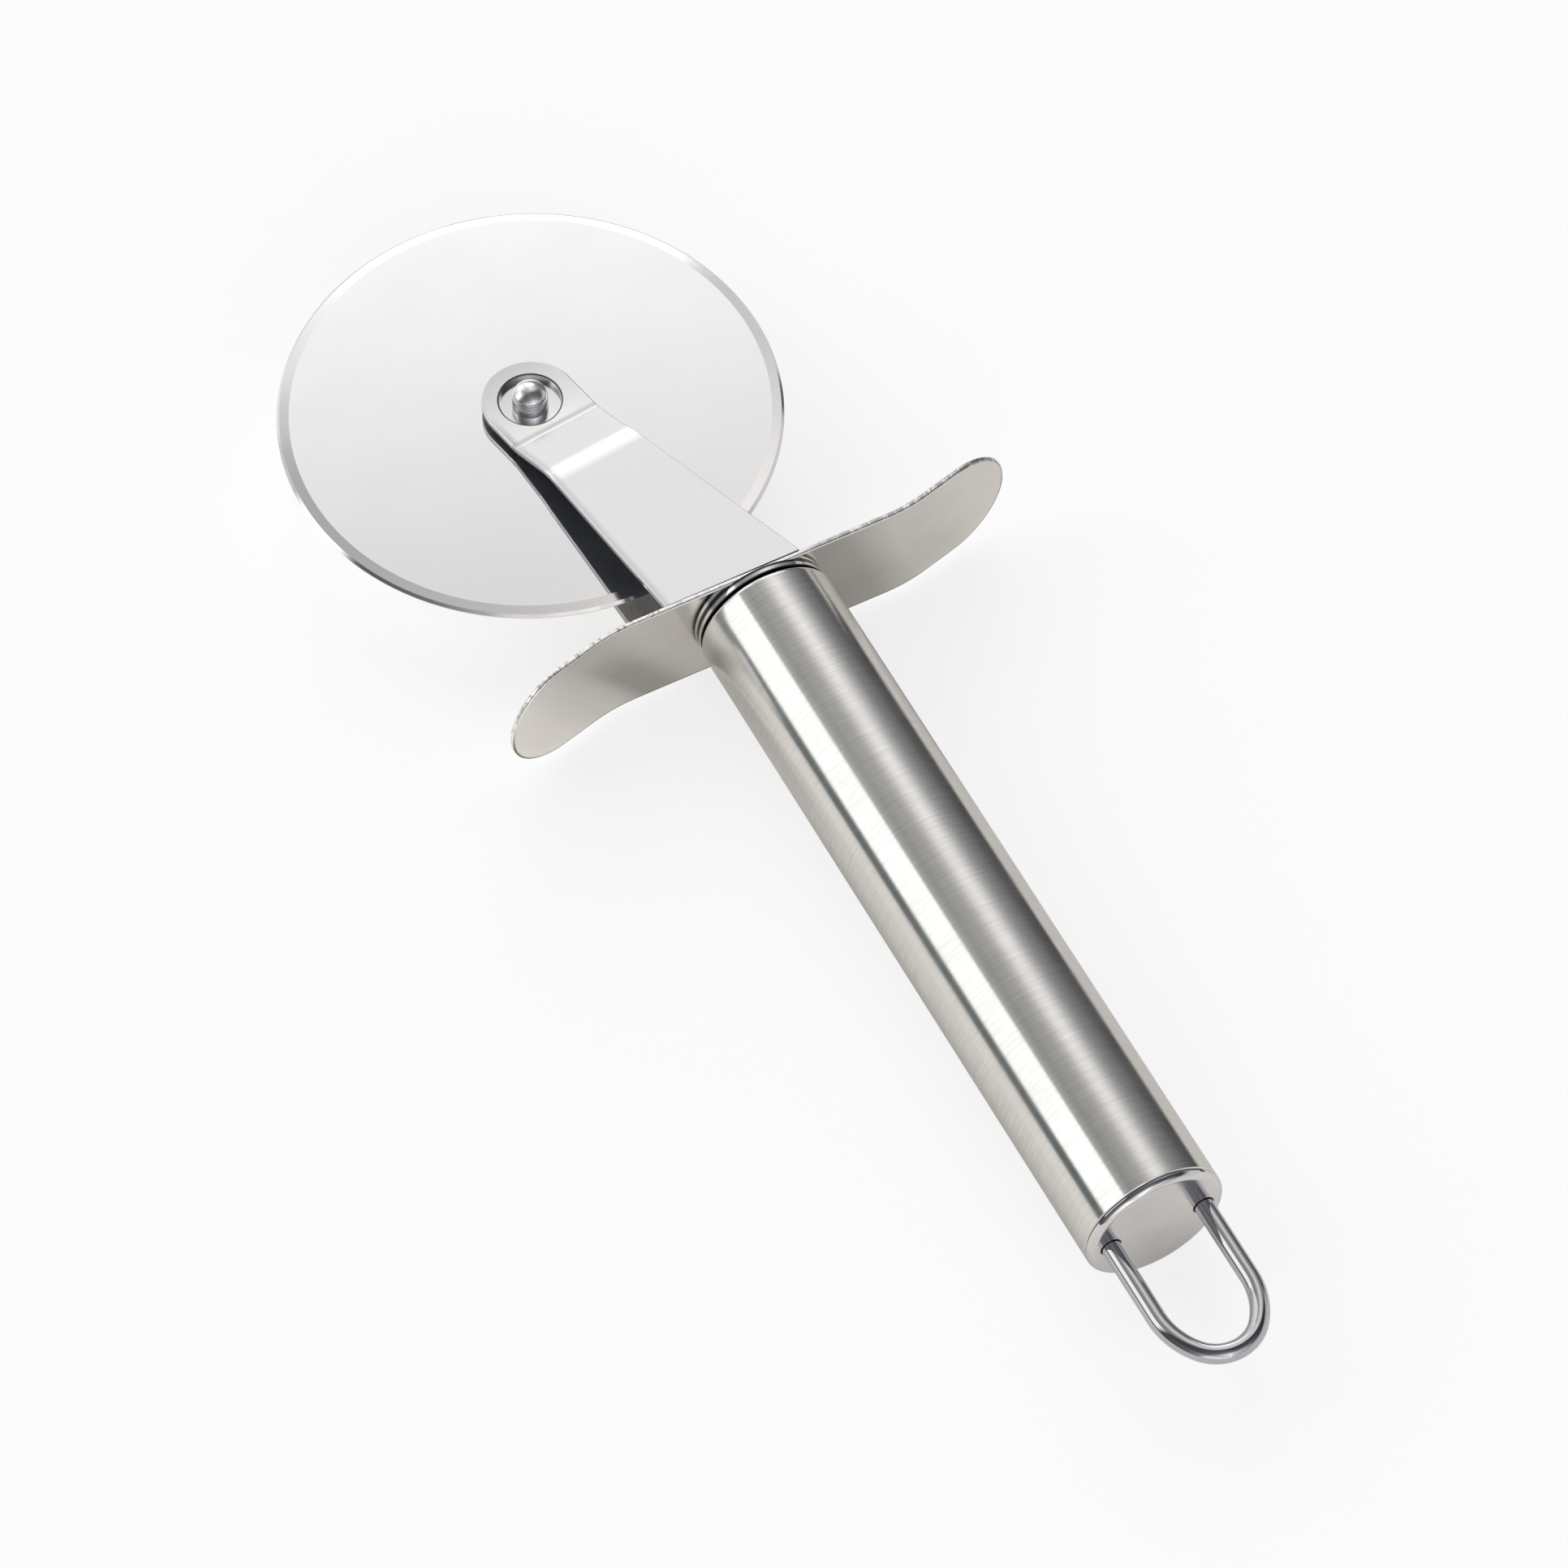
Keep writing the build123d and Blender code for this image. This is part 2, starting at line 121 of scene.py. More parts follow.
def colour(name, default, about):
    return FloatVectorProperty(
        name=name, description=about, default=default, size=3, min=0.0, max=1.0, subtype="COLOR"
    )


class BladeSettings(bpy.types.PropertyGroup):
    bevel_width: size("Bevel width", 1.6, "Width of the ground bevel at the rim")
    foot_thickness: size("Foot thickness", 0.8, "Blade thickness where the edge land starts")
    land_width: size("Land width", 0.35, "Width of the narrow land at the edge")
    edge_thickness: size("Edge thickness", 0.1, "Thickness of the cutting edge")
    bore: size("Bore", 7.0, "Hole for the bearing bush")
    steel: colour("Steel", (0.96, 0.948, 0.954), "Polished steel of the blade")


class AxleSettings(bpy.types.PropertyGroup):
    seat: size("Seat", 1.7, "Height of the heads' seat above the blade's middle plane")
    collar: size("Collar", 4.7, "Diameter of each head's collar")
    collar_height: size("Collar height", 2.0, "Height of each head's collar")
    groove: size("Groove", 3.9, "Diameter at the bottom of the groove")
    groove_width: size("Groove width", 0.22, "Width of the groove")
    dome: size("Dome", 4.25, "Diameter of the domed end")
    dome_rim: size("Dome rim", 0.35, "Height of the dome's straight rim")
    dome_rise: size("Dome rise", 0.95, "Rise of the dome above its rim")
    spigot: size("Spigot", 2.2, "Diameter of the spigot in the upper cap")
    spigot_length: size("Spigot length", 2.4, "Length of the spigot")
    shank: size("Shank", 3.2, "Diameter of the axle's shank")
    edge_radius: size("Edge radius", 0.07, "Rounding of the turned edges")
    steel: colour("Steel", (0.88, 0.876, 0.87), "Turned steel of the axle's ends")


class ForkSettings(bpy.types.PropertyGroup):
    sheet: size("Sheet", 1.0, "Thickness of the arms")
    tip_height: size("Tip height", 2.7, "Height of the tip's face above the blade's middle plane")
    knee_height: size("Knee height", 4.9, "Height of the arm at its second bend")
    root_height: size("Root height", 8.2, "Height of the arm where it meets the guard")
    tip_radius: size("Tip radius", 6.35, "Radius of the round tip")
    root_half_width: size("Root half width", 9.4, "Half the arm's width at the handle's end")
    taper_start: size("Taper start", 11.0, "Distance from the axle at which the arm starts to widen")
    first_bend: size("First bend", 5.6, "Distance of the first bend from the axle")
    second_bend: size("Second bend", 13.0, "Distance of the second bend from the axle")
    bend_radius: size("Bend radius", 2.2, "Radius of both bends")
    length: size("Length", 41.8, "Distance from the axle to the guard along the fork")
    offset: size("Offset", 3.9, "Distance of the fork's root from the handle's axis")
    angle: degrees("Fork angle", 11.2, "Slant of the fork in the blade's plane")
    bend_angle: degrees("Bend angle", 6.5, "Slant of the bend lines' normal")
    dish: size("Dish", 8.1, "Diameter of the dish pressed into the tip")
    dish_depth: size("Dish depth", 1.0, "Depth of the dish")
    dish_rim: size("Dish rim", 0.22, "Rounding of the dish's rim")
    boss_wall: size("Boss wall", 0.8, "Wall of the dish's boss")
    boss_foot: size("Boss foot", 0.9, "Height of the boss's foot above the blade's middle plane")
    hole: size("Hole", 3.26, "Hole for the axle's shank")
    edge_radius: size("Edge radius", 0.2, "Rounding of the sheet's edges")
    steel: colour("Steel", (0.88, 0.876, 0.876), "Satin steel of the arms")
    # The inner tones are painted: the dark upper one is painted shade, the pale lower one painted light
    inner_steel: colour("Inner steel", (0.30, 0.33, 0.38), "Dull steel of the upper arm's inner face")
    lit_inner_tone: colour("Lit inner steel", (0.97, 0.97, 0.97), "Pale steel of the lower arm's inner face")


class GuardSettings(bpy.types.PropertyGroup):
    sheet: size("Sheet", 0.8, "Thickness of the guard")
    height: size("Height", 16.4, "Height of the strip")
    half_length: size("Half length", 37.5, "Reach of each end from the handle's axis")
    flat_half: size("Flat half", 18.0, "Half the length of the flat middle")
    bend_radius: size("Bend radius", 26.0, "Radius of the turned ends, in the middle of the sheet")
    edge_radius: size("Edge radius", 0.28, "Rounding of the strip's edges")
    bend_angle: degrees("Bend angle", 14.5, "Angle by which each end turns")
    steel: colour("Steel", (0.90, 0.885, 0.855), "Satin steel of the guard's faces")
    cut_edge: colour("Cut edge", (0.93, 0.925, 0.91), "Bright steel of the sheared edge")


class HandleSettings(bpy.types.PropertyGroup):
    diameter: size("Diameter", 18.8, "Outside of the tube")
    wall: size("Wall", 0.6, "Wall of the tube")
    lip_radius: size("Lip radius", 0.8, "Rounding of the tube's front edge")
    lip_reach: size("Lip reach", 0.5, "Flat part of the rolled lip")
    end_chamfer: size("End chamfer", 0.15, "Chamfer at the tube's rear end")
    collar: size("Collar", 18.2, "Diameter of the collar behind the guard")
    collar_flange: size("Collar flange", 0.9, "Thickness of the collar's flange")
    collar_step: size("Collar step", 0.3, "Width of the slot between flange and tube")
    collar_step_diameter: size("Collar step diameter", 16.7, "Diameter at the bottom of the slot")
    collar_chamfer: size("Collar chamfer", 0.1, "Chamfer at the flange's rear edge")
    steel: colour("Steel", (0.80, 0.792, 0.78), "Brushed steel of the tube")


class EndSettings(bpy.types.PropertyGroup):
    rim_height: size("Rim height", 1.15, "Height of the cap's face above the tube's end")
    face_thickness: size("Face thickness", 0.8, "Thickness of the cap's face")
    skirt_length: size("Skirt length", 7.0, "Length of the skirt in the tube")
    skirt_wall: size("Skirt wall", 0.7, "Wall of the skirt")
    ring_chamfer: size("Ring chamfer", 0.18, "Chamfer that makes the dark ring against the tube")
    leg_clearance: size("Leg clearance", 0.2, "Gap around each leg of the loop")
    wire: size("Wire", 2.5, "Diameter of the loop's wire")
    leg_half_spacing: size("Leg half spacing", 6.4, "Distance of each leg from the handle's axis")
    loop_length: size("Loop length", 20.65, "Reach of the loop beyond the cap's face")
    side_radius: size("Side radius", 10.0, "Radius of the loop's wide arcs")
    end_radius: size("End radius", 5.4, "Radius of the loop's round end")
    plate: size("Plate", 1.5, "Thickness of the plate that grips the legs")
    leg_tail: size("Leg tail", 1.2, "Length of the legs beyond that plate")
    steel: colour("Steel", (0.82, 0.81, 0.80), "Steel of the end cap")
    chrome: colour("Chrome", (0.60, 0.605, 0.62), "Chrome of the hanging loop")


class StudioSettings(bpy.types.PropertyGroup):
    azimuth: degrees("Azimuth", 62.0036, "Camera's turn round the object")
    elevation: degrees("Elevation", 55.6395, "Camera's height angle")
    roll: degrees("Roll", 0.4125, "Camera's roll")
    distance: size("Distance", 944.39, "From the camera to the guard, along the view")
    sensor: number("Sensor", 36.0, "Width of the camera's sensor in millimetres")
    frame_width: IntProperty(name="Frame width", description="Width of the picture in pixels", default=1932)
    focal_pixels: number("Focal length in pixels", 9108.53, "Focal length over the pixel size")
    aim_u: number("Aim across", 934.24, "Pixel at which the guard's middle lies")
    aim_v: number("Aim down", 744.89, "Pixel row at which the guard's middle lies")
    floor_size: size("Floor size", 6000.0, "Side of the square floor")


class Graph:
    """Adds and joins the nodes of one material or of the world."""

    def __init__(self, owner):
        owner.use_nodes = True
        self.tree = owner.node_tree
        self.tree.nodes.clear()

    def node(self, kind, inputs=None, **settings):
        made = self.tree.nodes.new("ShaderNode" + kind)
        for name, value in settings.items():
            setattr(made, name, value)
        for name, value in (inputs or {}).items():
            if isinstance(value, bpy.types.NodeSocket):
                self.tree.links.new(value, made.inputs[name])
            else:
                made.inputs[name].default_value = value
        return made

    def math(self, operation, *values):
        return self.node("Math", dict(enumerate(values)), operation=operation).outputs[0]

    def plus(self, first, second):
        return self.math("ADD", first, second)

    def minus(self, first, second):
        return self.math("SUBTRACT", first, second)

    def times(self, first, second):
        return self.math("MULTIPLY", first, second)

    def length(self, first, second):
        return self.math("SQRT", self.plus(self.times(first, first), self.times(second, second)))

    def span(self, value, low, high, to_low=0.0, to_high=1.0, smooth=False):
        """Carries one range of a value to another and holds it at both ends."""
        kind = "SMOOTHSTEP" if smooth else "LINEAR"
        inputs = {"Value": value, "From Min": low, "From Max": high, "To Min": to_low, "To Max": to_high}
        return self.node("MapRange", inputs, interpolation_type=kind).outputs[0]

    def band(self, value, rise, risen, fall, fallen, smooth=False):
        """A mask that is full between two places along a value and nothing far from them."""
        rising = self.span(value, rise, risen, smooth=smooth)
        return self.times(rising, self.span(value, fall, fallen, 1.0, 0.0, smooth))

    def either(self, mask, off, on):
        """One value where the mask is nothing and another where it is full."""
        return self.plus(self.times(off, self.minus(1.0, mask)), self.times(on, mask))

    def mix(self, factor, first, second, **settings):
        inputs = {0: factor, 6: first, 7: second}
        return self.node("Mix", inputs, data_type="RGBA", **settings).outputs[2]

    def shades(self, tone, *layers, base=None):
        """A tone with paler or darker shades of itself laid on it in turn, each where its mask says."""
        base = four(tone) if base is None else base
        for mask, scale in layers:
            base = self.mix(mask, base, four(tone, scale))
        return base

    def ramp(self, value, low, high, stops):
        """Tones at places along a value, with all between them blended."""
        made = self.node("ValToRGB", {"Fac": self.span(value, low, high)})
        elements = made.color_ramp.elements
        while len(elements) < len(stops):
            elements.new(1.0)
        for element, (place, tone) in zip(elements, stops):
            element.position = (place - low) / (high - low)
            element.color = (*tone, 1.0)
        return made.outputs["Color"]

    def place(self, centre=(0, 0, 0), turn=0.0):
        """Object coordinates measured from a centre, in a direction turned in plan."""
        where = self.node("TexCoord").outputs["Object"]
        inputs = {"Vector": where, "Location": centre, "Rotation": (0.0, 0.0, turn)}
        return self.node("Mapping", inputs, vector_type="TEXTURE").outputs[0]

    def parts(self, vector):
        return self.node("SeparateXYZ", {0: vector}).outputs

    def noise(self, vector, scale, detail=2.0, roughness=0.5):
        inputs = {"Vector": vector, "Scale": scale, "Detail": detail, "Roughness": roughness}
        return self.node("TexNoise", inputs).outputs["Fac"]

    def grain(self, vector, scales, detail=2.0, roughness=0.5):
        """Noise with a scale of its own in each direction."""
        drawn = self.node("VectorMath", {0: vector, 1: scales}, operation="MULTIPLY").outputs[0]
        return self.noise(drawn, 1.0, detail, roughness)

    def turning(self, across, fine, along, long, offset=0.0, detail=3.0, roughness=0.6):
        """Noise in lines, as a lathe or a belt leaves them: fine across the lines and long along them."""
        inputs = {0: self.times(across, fine), 1: self.times(along, long), 2: offset}
        return self.noise(self.node("CombineXYZ", inputs).outputs[0], 1.0, detail, roughness)

    def bump(self, height, distance, under=None):
        inputs = {"Height": height, "Distance": distance, "Strength": 1.0}
        if under is not None:
            inputs["Normal"] = under
        return self.node("Bump", inputs).outputs["Normal"]

    def surface(self, shader):
        self.node("OutputMaterial", {"Surface": shader})

    def metal(self, base, roughness, normal, **settings):
        """A finished metal: what varies comes as a socket, and what doesn't is set as a value."""
        inputs = {"Base Color": base, "Roughness": roughness, "Normal": normal, "Metallic": 1.0}
        for name, value in settings.items():
            inputs[name.replace("_", " ").title()] = value
        self.surface(self.node("BsdfPrincipled", inputs).outputs[0])


def four(tone, scale=1.0):
    return (tone[0] * scale, tone[1] * scale, tone[2] * scale, 1.0)


def new_graph(name):
    material = bpy.data.materials.new(name)
    return material, Graph(material)


def around(graph, centre, axis):
    """Radius from an axis, angle round it and distance along it, for a point on the piece."""
    x, y, z = graph.parts(graph.place(centre))
    along, across, up = (x, y, z) if axis == "X" else (z, x, y)
    return graph.length(across, up), graph.math("ARCTAN2", up, across), along


def blade_finish(settings, radius_out):
    """Mirror polish with faint rings from the polishing wheel, and a ground bevel with cross lines."""
    material, graph = new_graph("blade_polish")
    radius, angle, _ = around(graph, AXLE, "Z")
    place = graph.place(AXLE)
    rings = graph.turning(radius, 5200.0, angle, 2.0)
    grinding = graph.turning(angle, 260.0, radius, 600.0)
    haze = graph.noise(place, 90.0, 4.0, 0.55)
    smudge = graph.noise(place, 420.0, 3.0, 0.6)
    bevel_start = radius_out - settings.bevel_width
    bevel = graph.span(radius, bevel_start - 0.05 * MM, bevel_start + 0.05 * MM)
    polish = graph.plus(graph.span(haze, *EVEN, 0.035, 0.065), graph.span(smudge, 0.55, 0.8, 0.0, 0.02))
    gloss = graph.either(bevel, polish, graph.span(grinding, *EVEN, 0.09, 0.16))
    base = graph.shades(
        settings.steel,
        (graph.span(haze, 0.35, 0.65), 0.975),
        (graph.times(bevel, graph.span(grinding, *EVEN, 0.6, 1.0)), 0.93),
    )
    lines = graph.bump(graph.times(rings, graph.minus(1.0, bevel)), 0.00035 * MM)
    lines = graph.bump(graph.times(grinding, bevel), 0.0012 * MM, lines)
    graph.metal(base, gloss, lines)
    return material


def tube_finish(settings):
    """Steel brushed round the tube: fine lines, a few deeper scratches and soft uneven patches."""
    material, graph = new_graph("tube_brushed")
    _, angle, along = around(graph, GRIP, "X")
    fine = graph.turning(along, 9000.0, angle, 3.0, roughness=0.65)
    coarse = graph.turning(along, 2600.0, angle, 1.5, 3.0, 2.0, 0.5)
    streaks = graph.turning(along, 700.0, angle, 2.5, 7.0, 4.0, 0.7)
    patches = graph.noise(graph.place(GRIP), 95.0, 3.0, 0.6)
    rough = graph.plus(graph.span(fine, 0.25, 0.75, 0.13, 0.2), graph.span(patches, 0.4, 0.7, 0.0, 0.04))
    brushed = graph.mix(graph.span(coarse, *EVEN), four(settings.steel, 0.91), four(settings.steel, 1.02))
    base = graph.shades(
        settings.steel,
        (graph.span(fine, 0.55, 0.75, 0.0, 0.5), 0.88),
        (graph.span(streaks, 0.5, 0.75, 0.0, 0.45), 0.88),
        (graph.span(patches, 0.5, 0.75, 0.0, 0.35), 0.92),
        # Painted shade: the tube's front end next to the collar's slot is darkened
        (graph.span(along, -GRIP_HALF + 0.1 * MM, -GRIP_HALF + 0.35 * MM, 1.0, 0.0), 0.12),
        base=brushed,
    )
    lines = graph.bump(coarse, 0.0008 * MM, graph.bump(fine, 0.0008 * MM))
    tangent = graph.node("Tangent", direction_type="RADIAL", axis="X").outputs[0]
    graph.metal(base, rough, lines, anisotropic=0.82, anisotropic_rotation=0.25, tangent=tangent)
    return material


def arm_finish(settings):
    """Soft satin steel with painted light: painted shade that greys the tip, painted shade in the first bend, a
    painted highlight over the second, a painted dark ring round the dish and painted shade along its left edge.
    """
    material, graph = new_graph("arm_satin")
    place = graph.place(AXLE, settings.bend_angle)
    along = graph.parts(place)[0]
    grain = graph.grain(place, (500.0, 5200.0, 5200.0))
    patches = graph.grain(place, (90.0, 130.0, 130.0), 4.0, 0.6)
    scratches = graph.grain(place, (55.0, 2400.0, 2400.0), 1.0)
    gloss = graph.plus(graph.span(grain, *EVEN, 0.12, 0.17), graph.span(patches, 0.45, 0.75, 0.0, 0.04))
    # Painted shade: the tip is grey at its far end and brightens towards the first bend
    tip = graph.mix(graph.span(along, *mm(-6.5, 4.5)), four(settings.steel, 0.70), four(settings.steel, 1.1))
    from_axle = around(graph, AXLE, "Z")[0]
    rim = settings.dish / 2
    # A dark ring painted round the dish's rim: painted shade at the recess's edge
    painted_rim_ring = graph.band(from_axle, rim + 0.01 * MM, rim + 0.06 * MM, rim + 0.2 * MM, rim + 0.3 * MM)

    behind_axle, sideways, _ = graph.parts(graph.place(AXLE, settings.angle))
    flare = graph.times(graph.minus(behind_axle, settings.taper_start), arm_widening(settings))
    half_width = graph.plus(graph.math("MAXIMUM", flare, 0.0), settings.tip_radius)
    from_edge = graph.plus(half_width, sideways)
    # Painted shade: a grey band along the arm's left edge
    rolled = graph.times(graph.span(from_edge, *mm(0.35, 1.1), 0.8, 0.0), graph.span(behind_axle, *mm(-1, 3)))
    rolled = graph.times(rolled, graph.span(from_edge, *mm(0.15, 0.3)))
    base = graph.shades(
        settings.steel,
        (graph.span(along, *mm(4.6, 6.2)), 0.77),
        # Painted shade in the first bend, then a painted highlight over the second bend
        (graph.band(along, *mm(4.7, 5.2, 6.1, 6.6)), 0.74),
        (graph.band(along, *mm(11.6, 12.4, 13.6, 15.0)), 1.1),
        (graph.span(patches, *PATCHY, 0.0, 0.3), 0.74),
        (graph.span(scratches, 0.6, 0.75, 0.0, 0.05), 1.05),
        (painted_rim_ring, 0.14),
        # painted shade along the left edge
        (rolled, 0.56),
        base=tip,
    )
    graph.metal(base, gloss, graph.bump(grain, 0.0004 * MM))
    return material


def inner_arm_finish(name, tone):
    """Inner face of an arm: rough steel in a given tone, which is painted shade on the upper arm and painted light
    on the lower.
    """
    material, graph = new_graph(name)
    place = graph.place(AXLE)
    scale = graph.noise(place, 260.0, 4.0, 0.6)
    grain = graph.grain(place, (300.0, 3600.0, 3600.0))
    base = graph.shades(tone, (graph.span(scale, *PATCHY), 0.8))
    graph.metal(base, graph.span(grain, *EVEN, 0.42, 0.55), graph.bump(grain, 0.002 * MM))
    return material


def guard_finish(settings):
    """Finely brushed sheet that mirrors the handle, with painted light: a painted dark patch on the left wing, a
    painted highlight towards its tip and a painted dark border along the bottom.
    """
    material, graph = new_graph("guard_satin")
    place = graph.place(GRIP)
    _, side, up = graph.parts(place)
    grain = graph.grain(place, (4200.0, 260.0, 4200.0), 3.0, 0.6)
    patches = graph.grain(place, (110.0, 110.0, 160.0), 4.0, 0.6)
    gloss = graph.plus(graph.span(grain, *EVEN, 0.09, 0.14), graph.span(patches, 0.45, 0.75, 0.0, 0.05))
    leaning = graph.math("MULTIPLY_ADD", up, 0.7, side)
    # Painted shade: a dark patch on the left wing, strongest low down
    painted_dark_patch = graph.band(leaning, *mm(-25, -21.5, -20, -13), smooth=True)
    painted_dark_patch = graph.times(painted_dark_patch, graph.span(up, *mm(-1, 6), 0.38, 0.15))
    # Painted shade: a dark border along the lower edge
    radius = settings.height / 2
    beyond = graph.minus(graph.math("ABSOLUTE", side), settings.half_length - radius)
    reach = graph.length(graph.math("MAXIMUM", beyond, 0.0), up)
    border = graph.span(reach, radius - 0.44 * MM, radius - 0.24 * MM)
    base = graph.shades(
        settings.steel,
        (graph.span(patches, *PATCHY), 0.95),
        # Painted highlight towards the left wing's tip
        (graph.span(leaning, *mm(-24.5, -27)), 1.1),
        (painted_dark_patch, 0.0),
        (graph.times(border, graph.span(up, *mm(3, -1))), 0.16),
    )
    graph.metal(base, gloss, graph.bump(grain, 0.0005 * MM))
    return material


def sheared_finish(settings):
    """Sheared sheet edge: a burnished band broken up by coarse tear marks, less so near the middle."""
    material, graph = new_graph("guard_cut_edge")
    place = graph.place(GRIP)
    side = graph.parts(place)[1]
    from_middle = graph.math("ABSOLUTE", side)
    tears = graph.grain(place, (900.0, 1600.0, 900.0), 3.0, 0.7)
    fine = graph.noise(place, 5200.0, 2.0, 0.6)
    torn = graph.times(graph.span(tears, 0.5, 0.6), graph.span(from_middle, *mm(8, 15), 0.25, 1.0))
    # On the right wing the two tones swap: the band turns dark and the tear marks bright
    right = graph.span(side, *mm(5, 9))
    burnished = graph.mix(right, four(settings.cut_edge, 1.05), four(settings.cut_edge, 0.5))
    ripped = graph.mix(right, four(settings.cut_edge, 0.5), four(settings.cut_edge, 1.0))
    relief = graph.times(tears, graph.span(from_middle, *mm(8, 15), 0.2, 1.0))
    lines = graph.bump(fine, 0.008 * MM, graph.bump(relief, 0.055 * MM))
    graph.metal(graph.mix(torn, burnished, ripped), graph.span(fine, *EVEN, 0.16, 0.42), lines)
    return material


def turned_finish(name, tone, centre, axis, rough):
    """Lathe-turned metal: fine rings round its axis."""
    material, graph = new_graph(name)
    radius, angle, along = around(graph, centre, axis)
    lines = graph.turning(graph.plus(radius, along), 6500.0, angle, 1.2)
    patches = graph.noise(graph.place(centre), 300.0, 3.0, 0.6)
    base = graph.shades(tone, (graph.span(patches, *PATCHY), 0.9))
    gloss = graph.plus(graph.span(lines, *EVEN, *rough), graph.span(patches, 0.5, 0.8, 0.0, 0.05))
    graph.metal(base, gloss, graph.bump(lines, 0.0016 * MM))
    return material


def collar_finish(settings, flange_end):
    """Turned flange with a bright band round it, and painted shade in the slot behind it and at the guard."""
    material, graph = new_graph("collar_turned")
    _, angle, along = around(graph, GRIP, "X")
    lines = graph.turning(along, 6500.0, angle, 1.2)
    patches = graph.noise(graph.place(GRIP), 300.0, 3.0, 0.6)
    turned = graph.shades(settings.steel, (graph.span(patches, *PATCHY), 0.88))
    front, back = COLLAR_FRONT - GRIP.x, flange_end - GRIP.x
    bright = graph.band(along, front + 0.25 * MM, front + 0.4 * MM, back - 0.16 * MM, back - 0.08 * MM)
    # Outside the band the flange is painted nearly black: painted shade
    base = graph.mix(bright, four(settings.steel, 0.07), turned)
    graph.metal(base, graph.span(lines, *EVEN, 0.1, 0.18), graph.bump(lines, 0.0008 * MM))
    return material


def chrome_finish(settings):
    """Bright chrome on drawn wire: smooth, with very faint drawing lines and a few rubbed spots."""
    material, graph = new_graph("loop_chrome")
    place = graph.place(GRIP)
    drawing = graph.grain(place, (150.0, 4200.0, 4200.0))
    rubs = graph.noise(place, 260.0, 4.0, 0.65)
    base = graph.shades(settings.chrome, (graph.span(rubs, 0.4, 0.7), 0.94))
    gloss = graph.plus(graph.span(drawing, *EVEN, 0.035, 0.07), graph.span(rubs, 0.55, 0.8, 0.0, 0.06))
    graph.metal(base, gloss, graph.bump(drawing, 0.0004 * MM))
    return material


def cap_finish(settings):
    """End cap: polished rounded rim, a flat face with a fine satin grain, and painted shade along its seam with
    the tube.
    """
    material, graph = new_graph("cap_steel")
    radius, _, along = around(graph, GRIP, "X")
    place = graph.place(GRIP)
    face = graph.span(radius, *mm(8.4, 8.7), 1.0, 0.0)
    grain = graph.grain(place, (2500.0, 5200.0, 240.0), 3.0, 0.6)
    patches = graph.noise(place, 210.0, 4.0, 0.6)
    satin = graph.plus(graph.span(grain, *EVEN, 0.13, 0.2), graph.span(patches, 0.4, 0.7, 0.0, 0.05))
    gloss = graph.either(face, graph.span(patches, *PATCHY, 0.05, 0.09), satin)
    ring = RING - GRIP.x
    base = graph.shades(
        settings.steel,
        (graph.span(patches, *PATCHY), 0.94),
        # Painted shade along the seam with the tube
        (graph.span(along, ring + 0.16 * MM, ring + 0.34 * MM, 1.0, 0.0), 0.1),
    )
    graph.metal(base, gloss, graph.bump(graph.times(grain, face), 0.0009 * MM))
    return material


def hardware_finish(name, tone, rough, scale, metallic=1.0):
    """Plain hardware that hardly shows: mottled tone, uneven gloss, slight tool marks."""
    material, graph = new_graph(name)
    place = graph.place(GRIP)
    mottle = graph.noise(place, scale, 4.0, 0.6)
    marks = graph.grain(place, (4000.0, 900.0, 4000.0), roughness=0.6)
    base = graph.shades(tone, (graph.span(mottle, *PATCHY), 0.84))
    gloss = graph.span(marks, *EVEN, rough - 0.06, rough + 0.08)
    graph.metal(base, gloss, graph.bump(marks, 0.002 * MM), metallic=metallic)
    return material


def wear(*nodes, material):
    """Gives CAD nodes a material."""
    for name in nodes:
        slots = frame["nodes"][name].data.materials
        slots.clear()
        slots.append(material)


def clear_selection():
    if bpy.context.object and bpy.context.object.mode != "OBJECT":
        bpy.ops.object.mode_set(mode="OBJECT")
    bpy.ops.object.select_all(action="DESELECT")


def edit_all():
    """Opens the active piece for editing, with all of it selected."""
    bpy.ops.object.mode_set(mode="EDIT")
    bpy.ops.mesh.select_mode(type="VERT")
    bpy.ops.mesh.select_all(action="SELECT")


def start_chain(name, points, closed=False):
    """A mesh drawn as by hand: one corner, extruded from point to point."""
    clear_selection()
    bpy.ops.mesh.primitive_plane_add(size=MM, location=points[0])
    piece = bpy.context.object
    piece.name = piece.data.name = name
    edit_all()
    bpy.ops.mesh.merge(type="CENTER")
    route = list(points) + ([points[0]] if closed else [])
    for begin, end in zip(route, route[1:]):
        bpy.ops.mesh.extrude_vertices_move(TRANSFORM_OT_translate={"value": Vector(end) - Vector(begin)})
    return piece


def tidy_mesh():
    """Merges doubles, turns all faces outwards and puts the piece's origin at the world's."""
    bpy.ops.mesh.select_all(action="SELECT")
    bpy.ops.mesh.remove_doubles(threshold=MERGE)
    bpy.ops.mesh.dissolve_degenerate(threshold=MERGE)
    bpy.ops.mesh.select_all(action="SELECT")
    bpy.ops.mesh.delete_loose(use_verts=True, use_edges=True, use_faces=False)
    bpy.ops.mesh.select_all(action="SELECT")
    bpy.ops.mesh.normals_make_consistent(inside=False)
    bpy.ops.object.mode_set(mode="OBJECT")
    bpy.ops.object.transform_apply(location=True, rotation=True, scale=True)


def lathe(name, points, centre, axis, steps=192):
    """A closed outline spun round an axis."""
    piece = start_chain(name, points, closed=True)
    bpy.ops.mesh.select_all(action="SELECT")
    bpy.ops.mesh.spin(steps=steps, angle=FULL_TURN, center=centre, axis=axis)
    tidy_mesh()
    return piece


